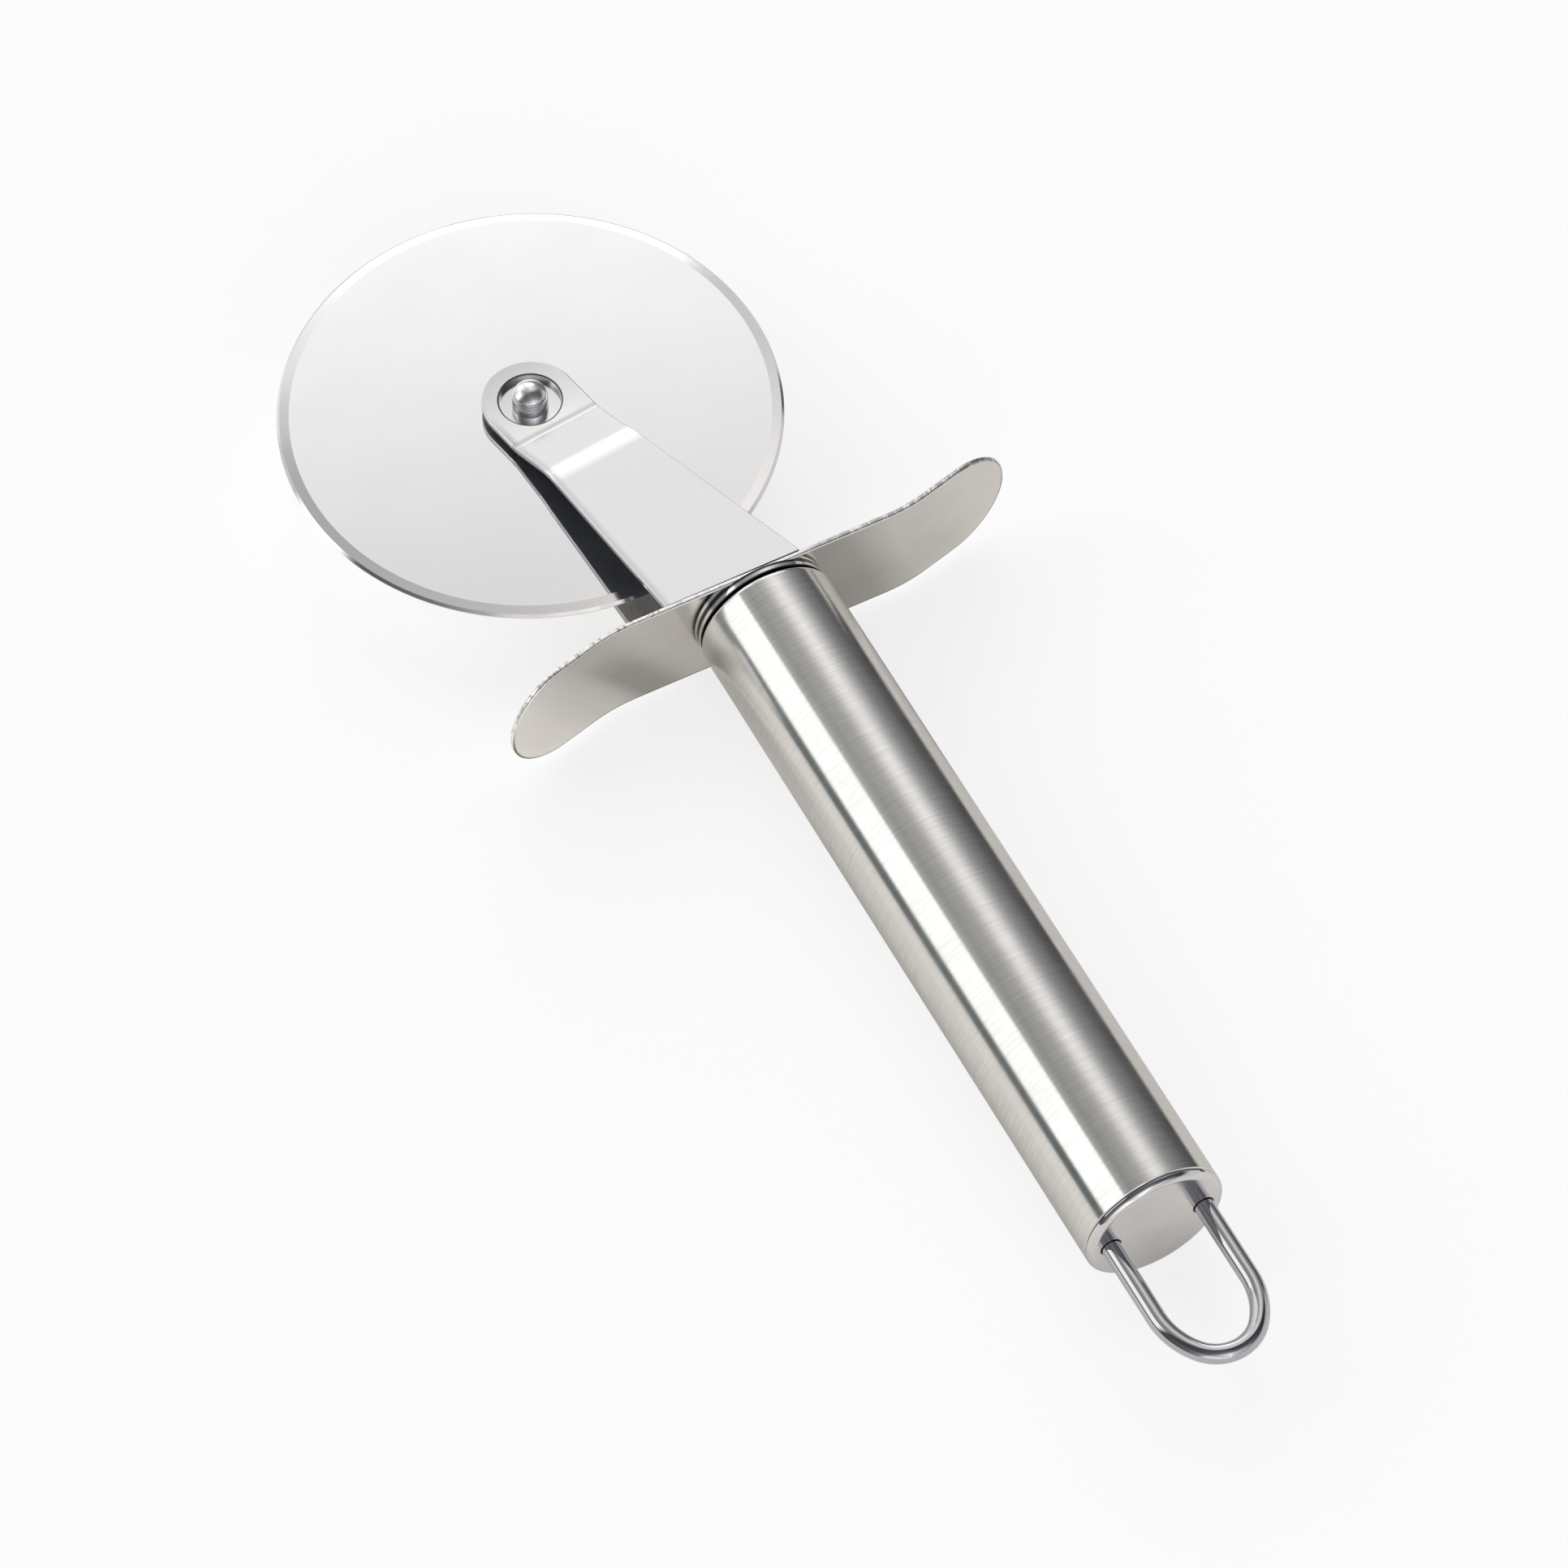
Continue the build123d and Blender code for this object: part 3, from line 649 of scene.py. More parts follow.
def prism(name, points, push):
    """A solid drawn as a closed outline, filled and extruded."""
    piece = start_chain(name, points, closed=True)
    bpy.ops.mesh.select_all(action="SELECT")
    bpy.ops.mesh.remove_doubles(threshold=MERGE)
    bpy.ops.mesh.edge_face_add()
    bpy.ops.mesh.extrude_region_move(TRANSFORM_OT_translate={"value": push})
    tidy_mesh()
    return piece


def modify(piece, kind, **settings):
    """Adds a modifier and applies it."""
    bpy.context.view_layer.objects.active = piece
    bpy.ops.object.modifier_add(type=kind)
    made = piece.modifiers[-1]
    for name, value in settings.items():
        setattr(made, name, value)
    bpy.ops.object.modifier_apply(modifier=made.name)


def break_edges(piece, width, sharpest, segments=4, **settings):
    """Rounds the edges of a piece that turn by more than an angle in degrees."""
    modify(
        piece, "BEVEL", width=width, segments=segments, limit_method="ANGLE",
        angle_limit=math.radians(sharpest), **settings,
    )


def cut(piece, tool, operation="DIFFERENCE"):
    """Cuts a piece with a tool, or adds the tool to it, and deletes the tool."""
    modify(piece, "BOOLEAN", object=tool, operation=operation, solver="EXACT")
    clear_selection()
    tool.select_set(True)
    bpy.ops.object.delete()


def cylinder(radius, low, high, centre, turn=(0.0, 0.0, 0.0), vertices=128):
    """A round tool for cut, from one height to another along its own axis."""
    clear_selection()
    middle = Vector(centre) + Matrix.Rotation(turn[1], 3, "Y") @ (Z_AXIS * (low + high) / 2)
    bpy.ops.mesh.primitive_cylinder_add(
        vertices=vertices, radius=radius, depth=high - low, location=middle, rotation=turn
    )
    return bpy.context.object


def drill(piece, x, sides, radius, vertices):
    """Drills round holes in the handle's direction through a piece, beside the handle's axis."""
    for side in sides:
        middle = (x, GRIP.y + side, GRIP.z)
        cut(piece, cylinder(radius, -DRILL_REACH, DRILL_REACH, middle, ALONG_X, vertices))


def select_parts(piece, test, kind):
    """In edit mode, selects the edges or faces of a piece that pass a test on its mesh."""
    bpy.context.view_layer.objects.active = piece
    bpy.ops.object.mode_set(mode="EDIT")
    bpy.ops.mesh.select_mode(type=kind)
    bpy.ops.mesh.select_all(action="DESELECT")
    bpy.ops.object.mode_set(mode="OBJECT")
    found = piece.data.edges if kind == "EDGE" else piece.data.polygons
    chosen = [part for part in found if test(part)]
    if not chosen:
        raise RuntimeError("nothing to select on " + piece.name)
    for part in chosen:
        part.select = True
    bpy.ops.object.mode_set(mode="EDIT")


def dress(piece, materials, test):
    """Gives a piece two materials, the second one for the faces that pass a test."""
    for material in materials:
        piece.data.materials.append(material)
    select_parts(piece, test, "FACE")
    piece.active_material_index = 1
    bpy.ops.object.material_slot_assign()
    bpy.ops.object.mode_set(mode="OBJECT")


def finish_piece(piece, body, materials, replaced, smooth_angle=35.0, bevel=0.0, weighted=False):
    """Rounds and smooths a piece, puts its origin at the world's, and hands it to its body."""
    clear_selection()
    piece.select_set(True)
    bpy.context.view_layer.objects.active = piece
    bpy.ops.object.transform_apply(location=True, rotation=True, scale=True)
    if bevel:
        break_edges(piece, bevel, 30.0, 3, miter_outer="MITER_ARC", use_clamp_overlap=True)
    bpy.ops.object.shade_smooth_by_angle(angle=math.radians(smooth_angle))
    if weighted:
        modify(piece, "WEIGHTED_NORMAL", keep_sharp=True)
    if not piece.data.materials:
        for material in materials:
            piece.data.materials.append(material)
    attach(piece, body)
    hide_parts(*replaced)


def arc(centre, radius, begin, end, steps):
    """Points of an arc as pairs, from one angle to another in degrees."""
    points = []
    for step in range(steps + 1):
        angle = math.radians(begin + (end - begin) * step / steps)
        points.append((centre[0] + radius * math.cos(angle), centre[1] + radius * math.sin(angle)))
    return points


def handle_points(pairs):
    """Pairs of place along the handle and radius, as points in the frame."""
    return [Vector((along, GRIP.y, GRIP.z + radius)) for along, radius in pairs]


def axle_points(pairs):
    """Pairs of radius and height above the blade's middle plane, as points in the frame."""
    return [Vector((AXLE.x + radius, AXLE.y, AXLE.z + height)) for radius, height in pairs]


class CUTTER_OT_blade(bpy.types.Operator):
    """Spin the round blade with its ground bevel"""

    bl_idname = "cutter.blade"
    bl_label = "Blade"

    def execute(self, context):
        settings = context.scene.cutter_blade
        low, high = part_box("wheel_blade")
        radius = (high.x - low.x) / 2
        half = (high.z - low.z) / 2
        start = radius - settings.bevel_width
        foot = (radius - settings.land_width, settings.foot_thickness / 2)
        upper = [(settings.bore / 2, half), (start, half), foot, (radius, settings.edge_thickness / 2)]
        lower = [(along, -height) for along, height in reversed(upper)]
        piece = lathe("blade", axle_points(upper + lower), AXLE, Z_AXIS, steps=360)
        finish = blade_finish(settings, radius)
        finish_piece(piece, "wheel", [finish], ["wheel_blade"], smooth_angle=8.0)
        return {"FINISHED"}


def head_outline(settings, bore):
    """Outline of a turned head: collar, groove and dome, from its bore to its crown."""
    foot = settings.seat
    groove_low = foot + settings.collar_height
    groove_high = groove_low + settings.groove_width
    rim_top = groove_high + settings.dome_rim
    collar, groove, dome = settings.collar / 2, settings.groove / 2, settings.dome / 2
    rise = settings.dome_rise
    crown = (dome**2 + rise**2) / (2 * rise)
    sweep = math.degrees(math.asin(dome / crown))
    outline = [(bore, foot), (collar, foot), (collar, groove_low)]
    outline += [(groove, groove_low), (groove, groove_high), (dome, groove_high)]
    return outline + arc((0.0, rim_top + rise - crown), crown, 90.0 - sweep, 90.0, 14)


class CUTTER_OT_axle(bpy.types.Operator):
    """Turn the axle and the cap on its upper end"""

    bl_idname = "cutter.axle"
    bl_label = "Axle"

    def execute(self, context):
        settings = context.scene.cutter_axle
        spigot, shank = settings.spigot / 2, settings.shank / 2
        top = settings.seat + settings.spigot_length
        cap = head_outline(settings, spigot) + [(0.0, top), (spigot, top)]
        pin = [(radius, -height) for radius, height in head_outline(settings, shank)]
        pin += [(0.0, top), (spigot, top), (spigot, settings.seat), (shank, settings.seat)]
        finish = turned_finish("axle_turned", settings.steel, AXLE, "Z", (0.2, 0.32))
        for name, outline, node in (("axle_upper_cap", cap, "axle_cap"), ("axle", pin, "axle_pin")):
            piece = lathe(name, axle_points(outline), AXLE, Z_AXIS, steps=96)
            finish_piece(piece, "handle", [finish], [node], bevel=settings.edge_radius)
        return {"FINISHED"}


def arm_widening(settings):
    """How much the arm's half width grows for each length behind the start of its taper."""
    return (settings.root_half_width - settings.tip_radius) / (settings.length - settings.taper_start)


class ArmShape:
    """The arm's outline in plan and its bent face from the side, both measured from the axle."""

    def __init__(self, settings):
        self.settings = settings
        turn, skew = settings.angle, settings.bend_angle
        self.along = Vector((math.cos(turn), math.sin(turn), 0.0))
        self.across = Vector((-math.sin(turn), math.cos(turn), 0.0))
        self.bend_along = Vector((math.cos(skew), math.sin(skew), 0.0))
        self.bend_across = Vector((-math.sin(skew), math.cos(skew), 0.0))
        self.root = settings.length * math.cos(turn - skew)
        self.far = settings.length + settings.root_half_width
        self.climb = (settings.root_height - settings.knee_height) / (self.root - settings.second_bend)

    def outline(self):
        """Closed outline in plan: round tip, straight neck, then a taper that widens to the root."""
        settings = self.settings
        radius = settings.tip_radius
        widening = arm_widening(settings)
        reach = TAPER_BLEND * math.tan(math.atan(widening) / 2)
        side = []
        for step in range(BEND_STEPS + 1):
            place = settings.taper_start + reach * (2 * step / BEND_STEPS - 1)
            rise = max(0.0, place - settings.taper_start + reach)
            side.append((place, radius + widening * rise**2 / (4 * reach)))
        side.append((self.far, radius + widening * (self.far - settings.taper_start)))
        tip = arc((0.0, 0.0), radius, 90.0, 270.0, 72)
        pairs = list(reversed(side)) + tip + [(place, -half) for place, half in side]
        return [AXLE + self.along * place + self.across * half for place, half in pairs]

    def profile(self):
        """Closed profile from the side: top face, and the under face one sheet below it."""
        settings = self.settings
        sheet = settings.sheet
        beyond_tip = 2 * MM
        corners = [
            (-settings.tip_radius - beyond_tip, settings.tip_height),
            (settings.first_bend, settings.tip_height),
            (settings.second_bend, settings.knee_height),
            (self.far, settings.root_height + self.climb * (self.far - self.root)),
        ]
        slopes = [math.atan2(b[1] - a[1], b[0] - a[0]) for a, b in zip(corners, corners[1:])]
        top, under = [corners[0]], [(corners[0][0], corners[0][1] - sheet)]
        for corner, before, after in zip(corners[1:], slopes, slopes[1:]):
            radius = settings.bend_radius
            reach = radius * math.tan(abs(after - before) / 2)
            way = 1 if after > before else -1
            start = (corner[0] - reach * math.cos(before), corner[1] - reach * math.sin(before))
            centre = (start[0] - way * radius * math.sin(before), start[1] + way * radius * math.cos(before))
            for step in range(BEND_STEPS + 1):
                lean = before + (after - before) * step / BEND_STEPS
                across, up = way * math.sin(lean), -way * math.cos(lean)
                for points, bend in ((top, radius), (under, radius + way * sheet)):
                    points.append((centre[0] + across * bend, centre[1] + up * bend))
        end, lean = corners[-1], slopes[-1]
        top.append(end)
        under.append((end[0] + sheet * math.sin(lean), end[1] - sheet * math.cos(lean)))
        pairs = top + list(reversed(under))
        return [AXLE + self.bend_along * place + Z_AXIS * height for place, height in pairs]


def build_arm(settings, name, guard_front):
    """One arm: sheet bent and trimmed, edges broken, cut at the guard, dished and drilled."""
    shape = ArmShape(settings)
    spare, trim_height, skin = 6 * MM, 12 * MM, 0.5 * MM
    width = 2 * settings.root_half_width + spare
    profile = [point - shape.bend_across * width for point in shape.profile()]
    arm = prism(name, profile, shape.bend_across * 2 * width)
    cut(arm, prism(name + "_trim", shape.outline(), Z_AXIS * trim_height), "INTERSECT")
    break_edges(arm, settings.edge_radius, 40.0, use_clamp_overlap=False)
    edit_all()
    bpy.ops.mesh.bisect(
        plane_co=(guard_front, 0.0, 0.0), plane_no=(1.0, 0.0, 0.0), use_fill=True, clear_outer=True
    )
    bpy.ops.object.mode_set(mode="OBJECT")

    dish = settings.dish / 2
    foot = AXLE.z + settings.boss_foot
    top = AXLE.z + settings.tip_height
    floor = top - settings.dish_depth
    above = AXLE.z + 5 * MM
    middle = (AXLE.x, AXLE.y, 0.0)
    cut(arm, cylinder(dish, foot + skin, above, middle))
    cut(arm, cylinder(dish + settings.boss_wall, foot, floor + NEAR, middle), "UNION")
    cut(arm, cylinder(dish, floor, above, middle))
    cut(arm, cylinder(settings.hole / 2, AXLE.z, above, middle))
    vertices = arm.data.vertices

    def on_dish_rim(edge):
        ends = [vertices[index].co for index in edge.vertices]
        reaches = [math.hypot(end.x - AXLE.x, end.y - AXLE.y) for end in ends]
        level = all(abs(end.z - top) < NEAR for end in ends)
        return level and all(abs(reach - dish) < NEAR for reach in reaches)

    select_parts(arm, on_dish_rim, "EDGE")
    bpy.ops.mesh.bevel(offset=settings.dish_rim, segments=4, affect="EDGES")
    bpy.ops.mesh.select_mode(type="VERT")
    tidy_mesh()
    return arm


class CUTTER_OT_fork(bpy.types.Operator):
    """Bend and trim both arms of the fork"""

    bl_idname = "cutter.fork"
    bl_label = "Fork arms"

    def execute(self, context):
        settings = context.scene.cutter_fork
        upper = build_arm(settings, "arm_top", COLLAR_FRONT - context.scene.cutter_guard.sheet)
        # The upper arm's inner face gets the dark tone: painted shade
        dull = inner_arm_finish("arm_inner", settings.inner_steel)
        dress(upper, (arm_finish(settings), dull), lambda face: face.normal.z < -0.7)
        clear_selection()
        upper.select_set(True)
        context.view_layer.objects.active = upper
        bpy.ops.object.duplicate(linked=False)
        lower = context.object
        lower.name = lower.data.name = "arm_bottom"
        # The lower arm's inner face gets a pale copy of the same finish: painted light
        lower.data.materials[1] = inner_arm_finish("arm_inner_lower", settings.lit_inner_tone)
        bpy.ops.transform.mirror(
            orient_type="GLOBAL", constraint_axis=(False, False, True), center_override=(0.0, 0.0, AXLE.z)
        )
        bpy.ops.object.transform_apply(location=True, rotation=True, scale=True)
        bpy.ops.object.mode_set(mode="EDIT")
        tidy_mesh()
        for piece, node in ((upper, "arm_upper"), (lower, "arm_lower")):
            finish_piece(piece, "handle", [], [node], weighted=True)
        return {"FINISHED"}


class CUTTER_OT_guard(bpy.types.Operator):
    """Bend the finger guard and break its sheared edge"""

    bl_idname = "cutter.guard"
    bl_label = "Finger guard"

    def execute(self, context):
        settings = context.scene.cutter_guard
        half = settings.sheet / 2
        front = COLLAR_FRONT - settings.sheet
        faces = [self.face_line(settings, front + half, offset) for offset in (half, -half)]
        plan = faces[0] + list(reversed(faces[1]))
        blank, depth = 12 * MM, 30 * MM
        points = [Vector((x, GRIP.y + y, GRIP.z - blank)) for x, y in plan]
        piece = prism("finger_guard", points, Z_AXIS * 2 * blank)
        radius = settings.height / 2
        reach = settings.half_length - radius
        ends = arc((reach, 0.0), radius, -90.0, 90.0, 64) + arc((-reach, 0.0), radius, 90.0, 270.0, 64)
        outline = [Vector((front - depth, GRIP.y + y, GRIP.z + z)) for y, z in ends]
        cut(piece, prism("finger_guard_trim", outline, X_AXIS * 2 * depth), "INTERSECT")
        break_edges(piece, settings.edge_radius, 50.0, use_clamp_overlap=False)
        drill(piece, front, SCREW_PLACES, SCREW_HOLE, 48)
        finishes = (guard_finish(settings), sheared_finish(settings))
        dress(piece, finishes, lambda face: abs(face.normal.x) < 0.8)
        finish_piece(piece, "handle", [], ["guard"], weighted=True)
        return {"FINISHED"}

    def face_line(self, settings, middle, offset):
        """Plan of one face, from the left end to the right; the ends turn opposite ways."""
        turn, flat, bend = settings.bend_angle, settings.flat_half, settings.bend_radius
        trimmed_off = 4 * MM
        straight = (settings.half_length + trimmed_off - flat - bend * math.sin(turn)) / math.cos(turn)
        side, forward = straight * math.cos(turn), straight * math.sin(turn)
        degrees_turned = math.degrees(turn)
        right = arc((middle - bend, flat), bend + offset, 0.0, degrees_turned, 24)
        left = arc((middle + bend, -flat), bend - offset, 180.0 + degrees_turned, 180.0, 24)
        right_end = (right[-1][0] - forward, right[-1][1] + side)
        left_end = (left[0][0] + forward, left[0][1] - side)
        return [left_end] + left + right + [right_end]


class CUTTER_OT_handle(bpy.types.Operator):
    """Spin the handle's tube and the collar in front of it"""

    bl_idname = "cutter.handle"
    bl_label = "Handle"

    def execute(self, context):
        settings = context.scene.cutter_handle
        flange = COLLAR_FRONT + settings.collar_flange
        back = flange + settings.collar_step
        radius = settings.collar / 2
        slot = settings.collar_step_diameter / 2
        chamfer = settings.collar_chamfer
        outline = [(COLLAR_FRONT, 0.0), (COLLAR_FRONT, radius), (flange - chamfer, radius)]
        outline += [(flange, radius - chamfer), (flange, slot), (back, slot), (back, 0.0)]
        centre = (0.0, GRIP.y, GRIP.z)
        piece = lathe("collar", handle_points(outline), centre, X_AXIS)
        drill(piece, COLLAR_FRONT, SCREW_PLACES, SCREW_HOLE, 48)
        finish = collar_finish(settings, flange)
        finish_piece(piece, "handle", [finish], ["neck_collar"], weighted=True)

        outer = settings.diameter / 2
        inner = outer - settings.wall
        lip = settings.lip_radius
        lip_middle = (back + lip, outer - lip)
        lip_inner = outer - lip - settings.lip_reach
        end = settings.end_chamfer
        outline = [(back, lip_inner)] + arc(lip_middle, lip, 180.0, 90.0, 12)
        outline += [(RING - end, outer), (RING, outer - end), (RING, inner)]
        outline += arc(lip_middle, lip - settings.wall, 90.0, 180.0, 4) + [(back + settings.wall, lip_inner)]
        piece = lathe("tube", handle_points(outline), centre, X_AXIS, steps=256)
        finish_piece(piece, "handle", [tube_finish(settings)], ["handle_tube"], weighted=True)
        return {"FINISHED"}


class CUTTER_OT_end(bpy.types.Operator):
    """Spin the end cap, drill it for the loop and bend the loop"""

    bl_idname = "cutter.end"
    bl_label = "End cap and loop"

    def execute(self, context):
        settings = context.scene.cutter_end
        handle = context.scene.cutter_handle
        radius = handle.diameter / 2
        face = RING + settings.rim_height
        face_back = face - settings.face_thickness
        skirt = radius - handle.wall
        bore = skirt - settings.skirt_wall
        skirt_end = RING - settings.skirt_length
        chamfer = settings.ring_chamfer
        rounding = settings.rim_height - chamfer
        outline = [(face, 0.0), (face_back, 0.0), (face_back, bore), (skirt_end, bore), (skirt_end, skirt)]
        outline += [(RING, skirt), (RING, radius - chamfer)]
        outline += arc((RING + chamfer, radius - rounding), rounding, 90.0, 0.0, 14)
        piece = lathe("cap", handle_points(outline), (0.0, GRIP.y, GRIP.z), X_AXIS)
        legs = (-settings.leg_half_spacing, settings.leg_half_spacing)
        drill(piece, face, legs, settings.wire / 2 + settings.leg_clearance, 64)
        finish_piece(piece, "handle", [cap_finish(settings)], ["end_cap"], weighted=True)
        self.bend_loop(settings, face)
        return {"FINISHED"}

    def bend_loop(self, settings, face):
        """Draws one section and carries it along both legs, both wide arcs and the round end."""
        wire = settings.wire / 2
        spacing, side, end = settings.leg_half_spacing, settings.side_radius, settings.end_radius
        start_x = face - settings.face_thickness - settings.plate - settings.leg_tail
        end_centre_x = face + settings.loop_length - wire - end
        side_centre_y = spacing - side
        gap = side - end
        side_centre_x = end_centre_x - math.sqrt(gap**2 - side_centre_y**2)
        sweep = math.atan2(end_centre_x - side_centre_x, -side_centre_y)
        clear_selection()
        bpy.ops.mesh.primitive_circle_add(
            vertices=48, radius=wire, fill_type="NGON", location=(start_x, GRIP.y - spacing, GRIP.z),
            rotation=ALONG_X,
        )
        piece = bpy.context.object
        piece.name = piece.data.name = "loop"
        bpy.ops.object.transform_apply(location=True, rotation=True, scale=True)
        edit_all()
        leg = X_AXIS * (side_centre_x - start_x)
        bpy.ops.mesh.extrude_region_move(TRANSFORM_OT_translate={"value": leg})
        first = (side_centre_x, GRIP.y - side_centre_y, GRIP.z)
        last = (side_centre_x, GRIP.y + side_centre_y, GRIP.z)
        middle = (end_centre_x, GRIP.y, GRIP.z)
        for centre, turn, steps in ((first, sweep, 24), (middle, math.pi - 2 * sweep, 48), (last, sweep, 24)):
            bpy.ops.mesh.spin(steps=steps, angle=-turn, center=centre, axis=Z_AXIS)
        bpy.ops.mesh.extrude_region_move(TRANSFORM_OT_translate={"value": -leg})
        tidy_mesh()
        finish = chrome_finish(settings)
        finish_piece(piece, "handle", [finish], ["hanging_loop"], smooth_angle=40.0)


class CUTTER_OT_inner(bpy.types.Operator):
    """Give the inner pieces, which stay CAD pieces, their surfaces"""

    bl_idname = "cutter.inner"
    bl_label = "Inner pieces"

    def execute(self, context):
        bronze = turned_finish("bush_bronze", (0.62, 0.44, 0.23), AXLE, "Z", (0.25, 0.38))
        nylon = hardware_finish("washer_nylon", (0.72, 0.71, 0.68), 0.45, 700.0, metallic=0.0)
        plate_steel = hardware_finish("base_steel", (0.66, 0.655, 0.645), 0.3, 420.0)
        screw_steel = hardware_finish("screw_steel", (0.58, 0.58, 0.57), 0.28, 900.0)
        aluminium = turned_finish("plug_turned", (0.76, 0.77, 0.78), GRIP, "X", (0.24, 0.36))
        wear("wheel_bush", material=bronze)
        wear("thrust_washers", material=nylon)
        wear("fork_base", material=plate_steel)
        wear("lock_washers", "fork_screws", "loop_retainer", material=screw_steel)
        wear("front_plug", material=aluminium)
        return {"FINISHED"}


def handle_lights(graph, angle):
    """The strip lights and dark gaps that the tube mirrors, by angle round the handle's axis."""
    return graph.ramp(angle, -100.0, 100.0, [
        (-92, (0.075, 0.09, 0.09)), (-77, (0.075, 0.09, 0.09)), (-74.5, (0.88, 0.9, 0.88)),
        (-36, (0.88, 0.88, 0.87)), (-34.5, (0.29, 0.29, 0.285)), (-22, (0.185, 0.185, 0.18)),
        (-12, (0.23, 0.23, 0.225)), (-3, (0.27, 0.265, 0.26)), (7, (0.37, 0.36, 0.355)),
        (14, (0.55, 0.535, 0.515)), (20, (0.63, 0.61, 0.585)), (26, (0.62, 0.6, 0.58)),
        (31, (0.55, 0.54, 0.53)), (38, (0.38, 0.38, 0.38)), (46, (0.25, 0.25, 0.255)),
        (53, (0.2, 0.2, 0.203)), (59, (0.165, 0.165, 0.17)), (66, (0.135, 0.135, 0.14)),
        (73, (0.1, 0.1, 0.104)), (80, (0.068, 0.068, 0.071)), (92, (0.05, 0.052, 0.055)),
    ])


def end_lights(graph, x, angle):
    """The lights beyond the handle's end, which the cap and the loop mirror."""
    levels = [
        (-100, 0.5), (-70, 0.8), (-45, 0.85), (-32, 0.5), (5, 0.9), (14, 0.55), (40, 0.5), (55, 0.25),
        (70, 0.6), (95, 0.35),
    ]
    streaks = graph.ramp(angle, -100.0, 100.0, [(place, (level, level, level)) for place, level in levels])
    rising = graph.ramp(x, -0.3, 1.0, [
        (-0.3, (0.10, 0.105, 0.11)), (-0.17, (0.07, 0.075, 0.08)), (0.09, (0.09, 0.09, 0.1)),
        (0.35, (0.13, 0.13, 0.145)), (0.584, (0.3, 0.295, 0.33)), (0.714, (0.85, 0.84, 0.89)),
        (1.0, (1.0, 1.0, 1.0)),
    ])
    behind = graph.mix(1.0, streaks, rising, blend_type="MULTIPLY")
    return graph.mix(graph.span(angle, 58.0, 72.0), behind, (0.4, 0.4, 0.42, 1.0))


def blade_lights(graph, x, angle):
    """The white wall that the blade mirrors: dimmer towards the handle, with brighter sides and a strip."""
    level = graph.math("MULTIPLY_ADD", x, -6.2, 0.70 - 6.2 * 0.531)
    level = graph.plus(level, graph.span(angle, 5.0, 26.0, -0.39, 0.32))
    level = graph.plus(level, graph.span(angle, -10.0, 10.0, -1.5, 0.0))
    highest = graph.span(angle, 4.0, 16.0, 0.85, 1.12)
    level = graph.math("MINIMUM", graph.math("MAXIMUM", level, 0.62), highest)
    sides = graph.plus(graph.band(angle, 36.0, 40.0, 54.0, 58.0), graph.band(angle, -56.0, -50.0, -8.0, -2.0))
    sides = graph.times(sides, graph.span(x, -0.6, -0.64))
    strip = graph.times(graph.band(x, -0.735, -0.775, -0.85, -0.875), graph.span(angle, 12.0, 18.0))
    level = graph.plus(level, graph.plus(graph.times(sides, 0.5), graph.times(strip, 0.48)))
    level = graph.times(level, graph.span(angle, 58.0, 66.0, 1.0 / BRIGHTEST, 0.1 / BRIGHTEST))
    return graph.node("CombineXYZ", {0: level, 1: level, 2: level}).outputs[0]


def build_world():
    """A softly lit studio: lights by angle round the handle's axis, and plain white for the camera."""
    world = bpy.data.worlds.new("studio")
    graph = Graph(world)
    x, y, z = graph.parts(graph.node("TexCoord").outputs["Generated"])
    angle = graph.math("DEGREES", graph.math("ARCTAN2", y, z))
    off_blade = graph.span(graph.math("ABSOLUTE", graph.minus(angle, 17.0)), 7.0, 18.0, 0.0, 0.12)
    to_blade = graph.span(graph.plus(x, off_blade), -0.519, -0.526)
    lights = graph.mix(to_blade, handle_lights(graph, angle), blade_lights(graph, x, angle))
    lights = graph.mix(graph.span(x, -0.28, -0.12, smooth=True), lights, end_lights(graph, x, angle))
    studio = graph.node("Background", {"Color": lights, "Strength": BRIGHTEST})
    white = graph.node("Background", {"Color": WHITE, "Strength": 1.0})
    seen = graph.node("LightPath").outputs["Is Camera Ray"]
    mixed = graph.node("MixShader", {0: seen, 1: studio.outputs[0], 2: white.outputs[0]})
    graph.node("OutputWorld", {"Surface": mixed.outputs[0]})
    bpy.context.scene.world = world


def metal_floor_tone(graph, along, across):
    """The floor as the metal sees it: painted shade under the handle, black beside the neck by the guard and grey
    on its other side; and dark far off to one side.
    """
    levels = [
        (-130, 0.98), (-50, 0.98), (-37, 0.90), (-23, 0.84), (-16, 0.74), (-11, 0.6),
        (0, 0.45), (11, 0.6), (20, 0.74), (64, 0.76), (95, 0.78), (112, 0.08), (130, 0.07),
    ]
    stops = [(place * MM, (level, level * 0.972, level * 0.915)) for place, level in levels]
    tone = graph.ramp(across, *mm(-130, 130), stops)
    near_guard = graph.span(along, *mm(-4, 6), 1.0, 0.0)
    right_of_neck = graph.times(graph.span(across, *mm(-6, -3)), graph.span(across, *mm(18, 25), 0.32, 0.0))
    left_of_neck = graph.band(across, *mm(-3, -6, -22, -27))
    # Painted shade by the guard: black beside the neck, grey on its other side
    tone = graph.mix(graph.times(near_guard, right_of_neck), tone, BLACK)
    tone = graph.mix(graph.times(near_guard, left_of_neck), tone, (0.71, 0.69, 0.65, 1.0))
    return graph.mix(graph.span(along, *mm(76, 84)), tone, (0.84, 0.825, 0.79, 1.0))


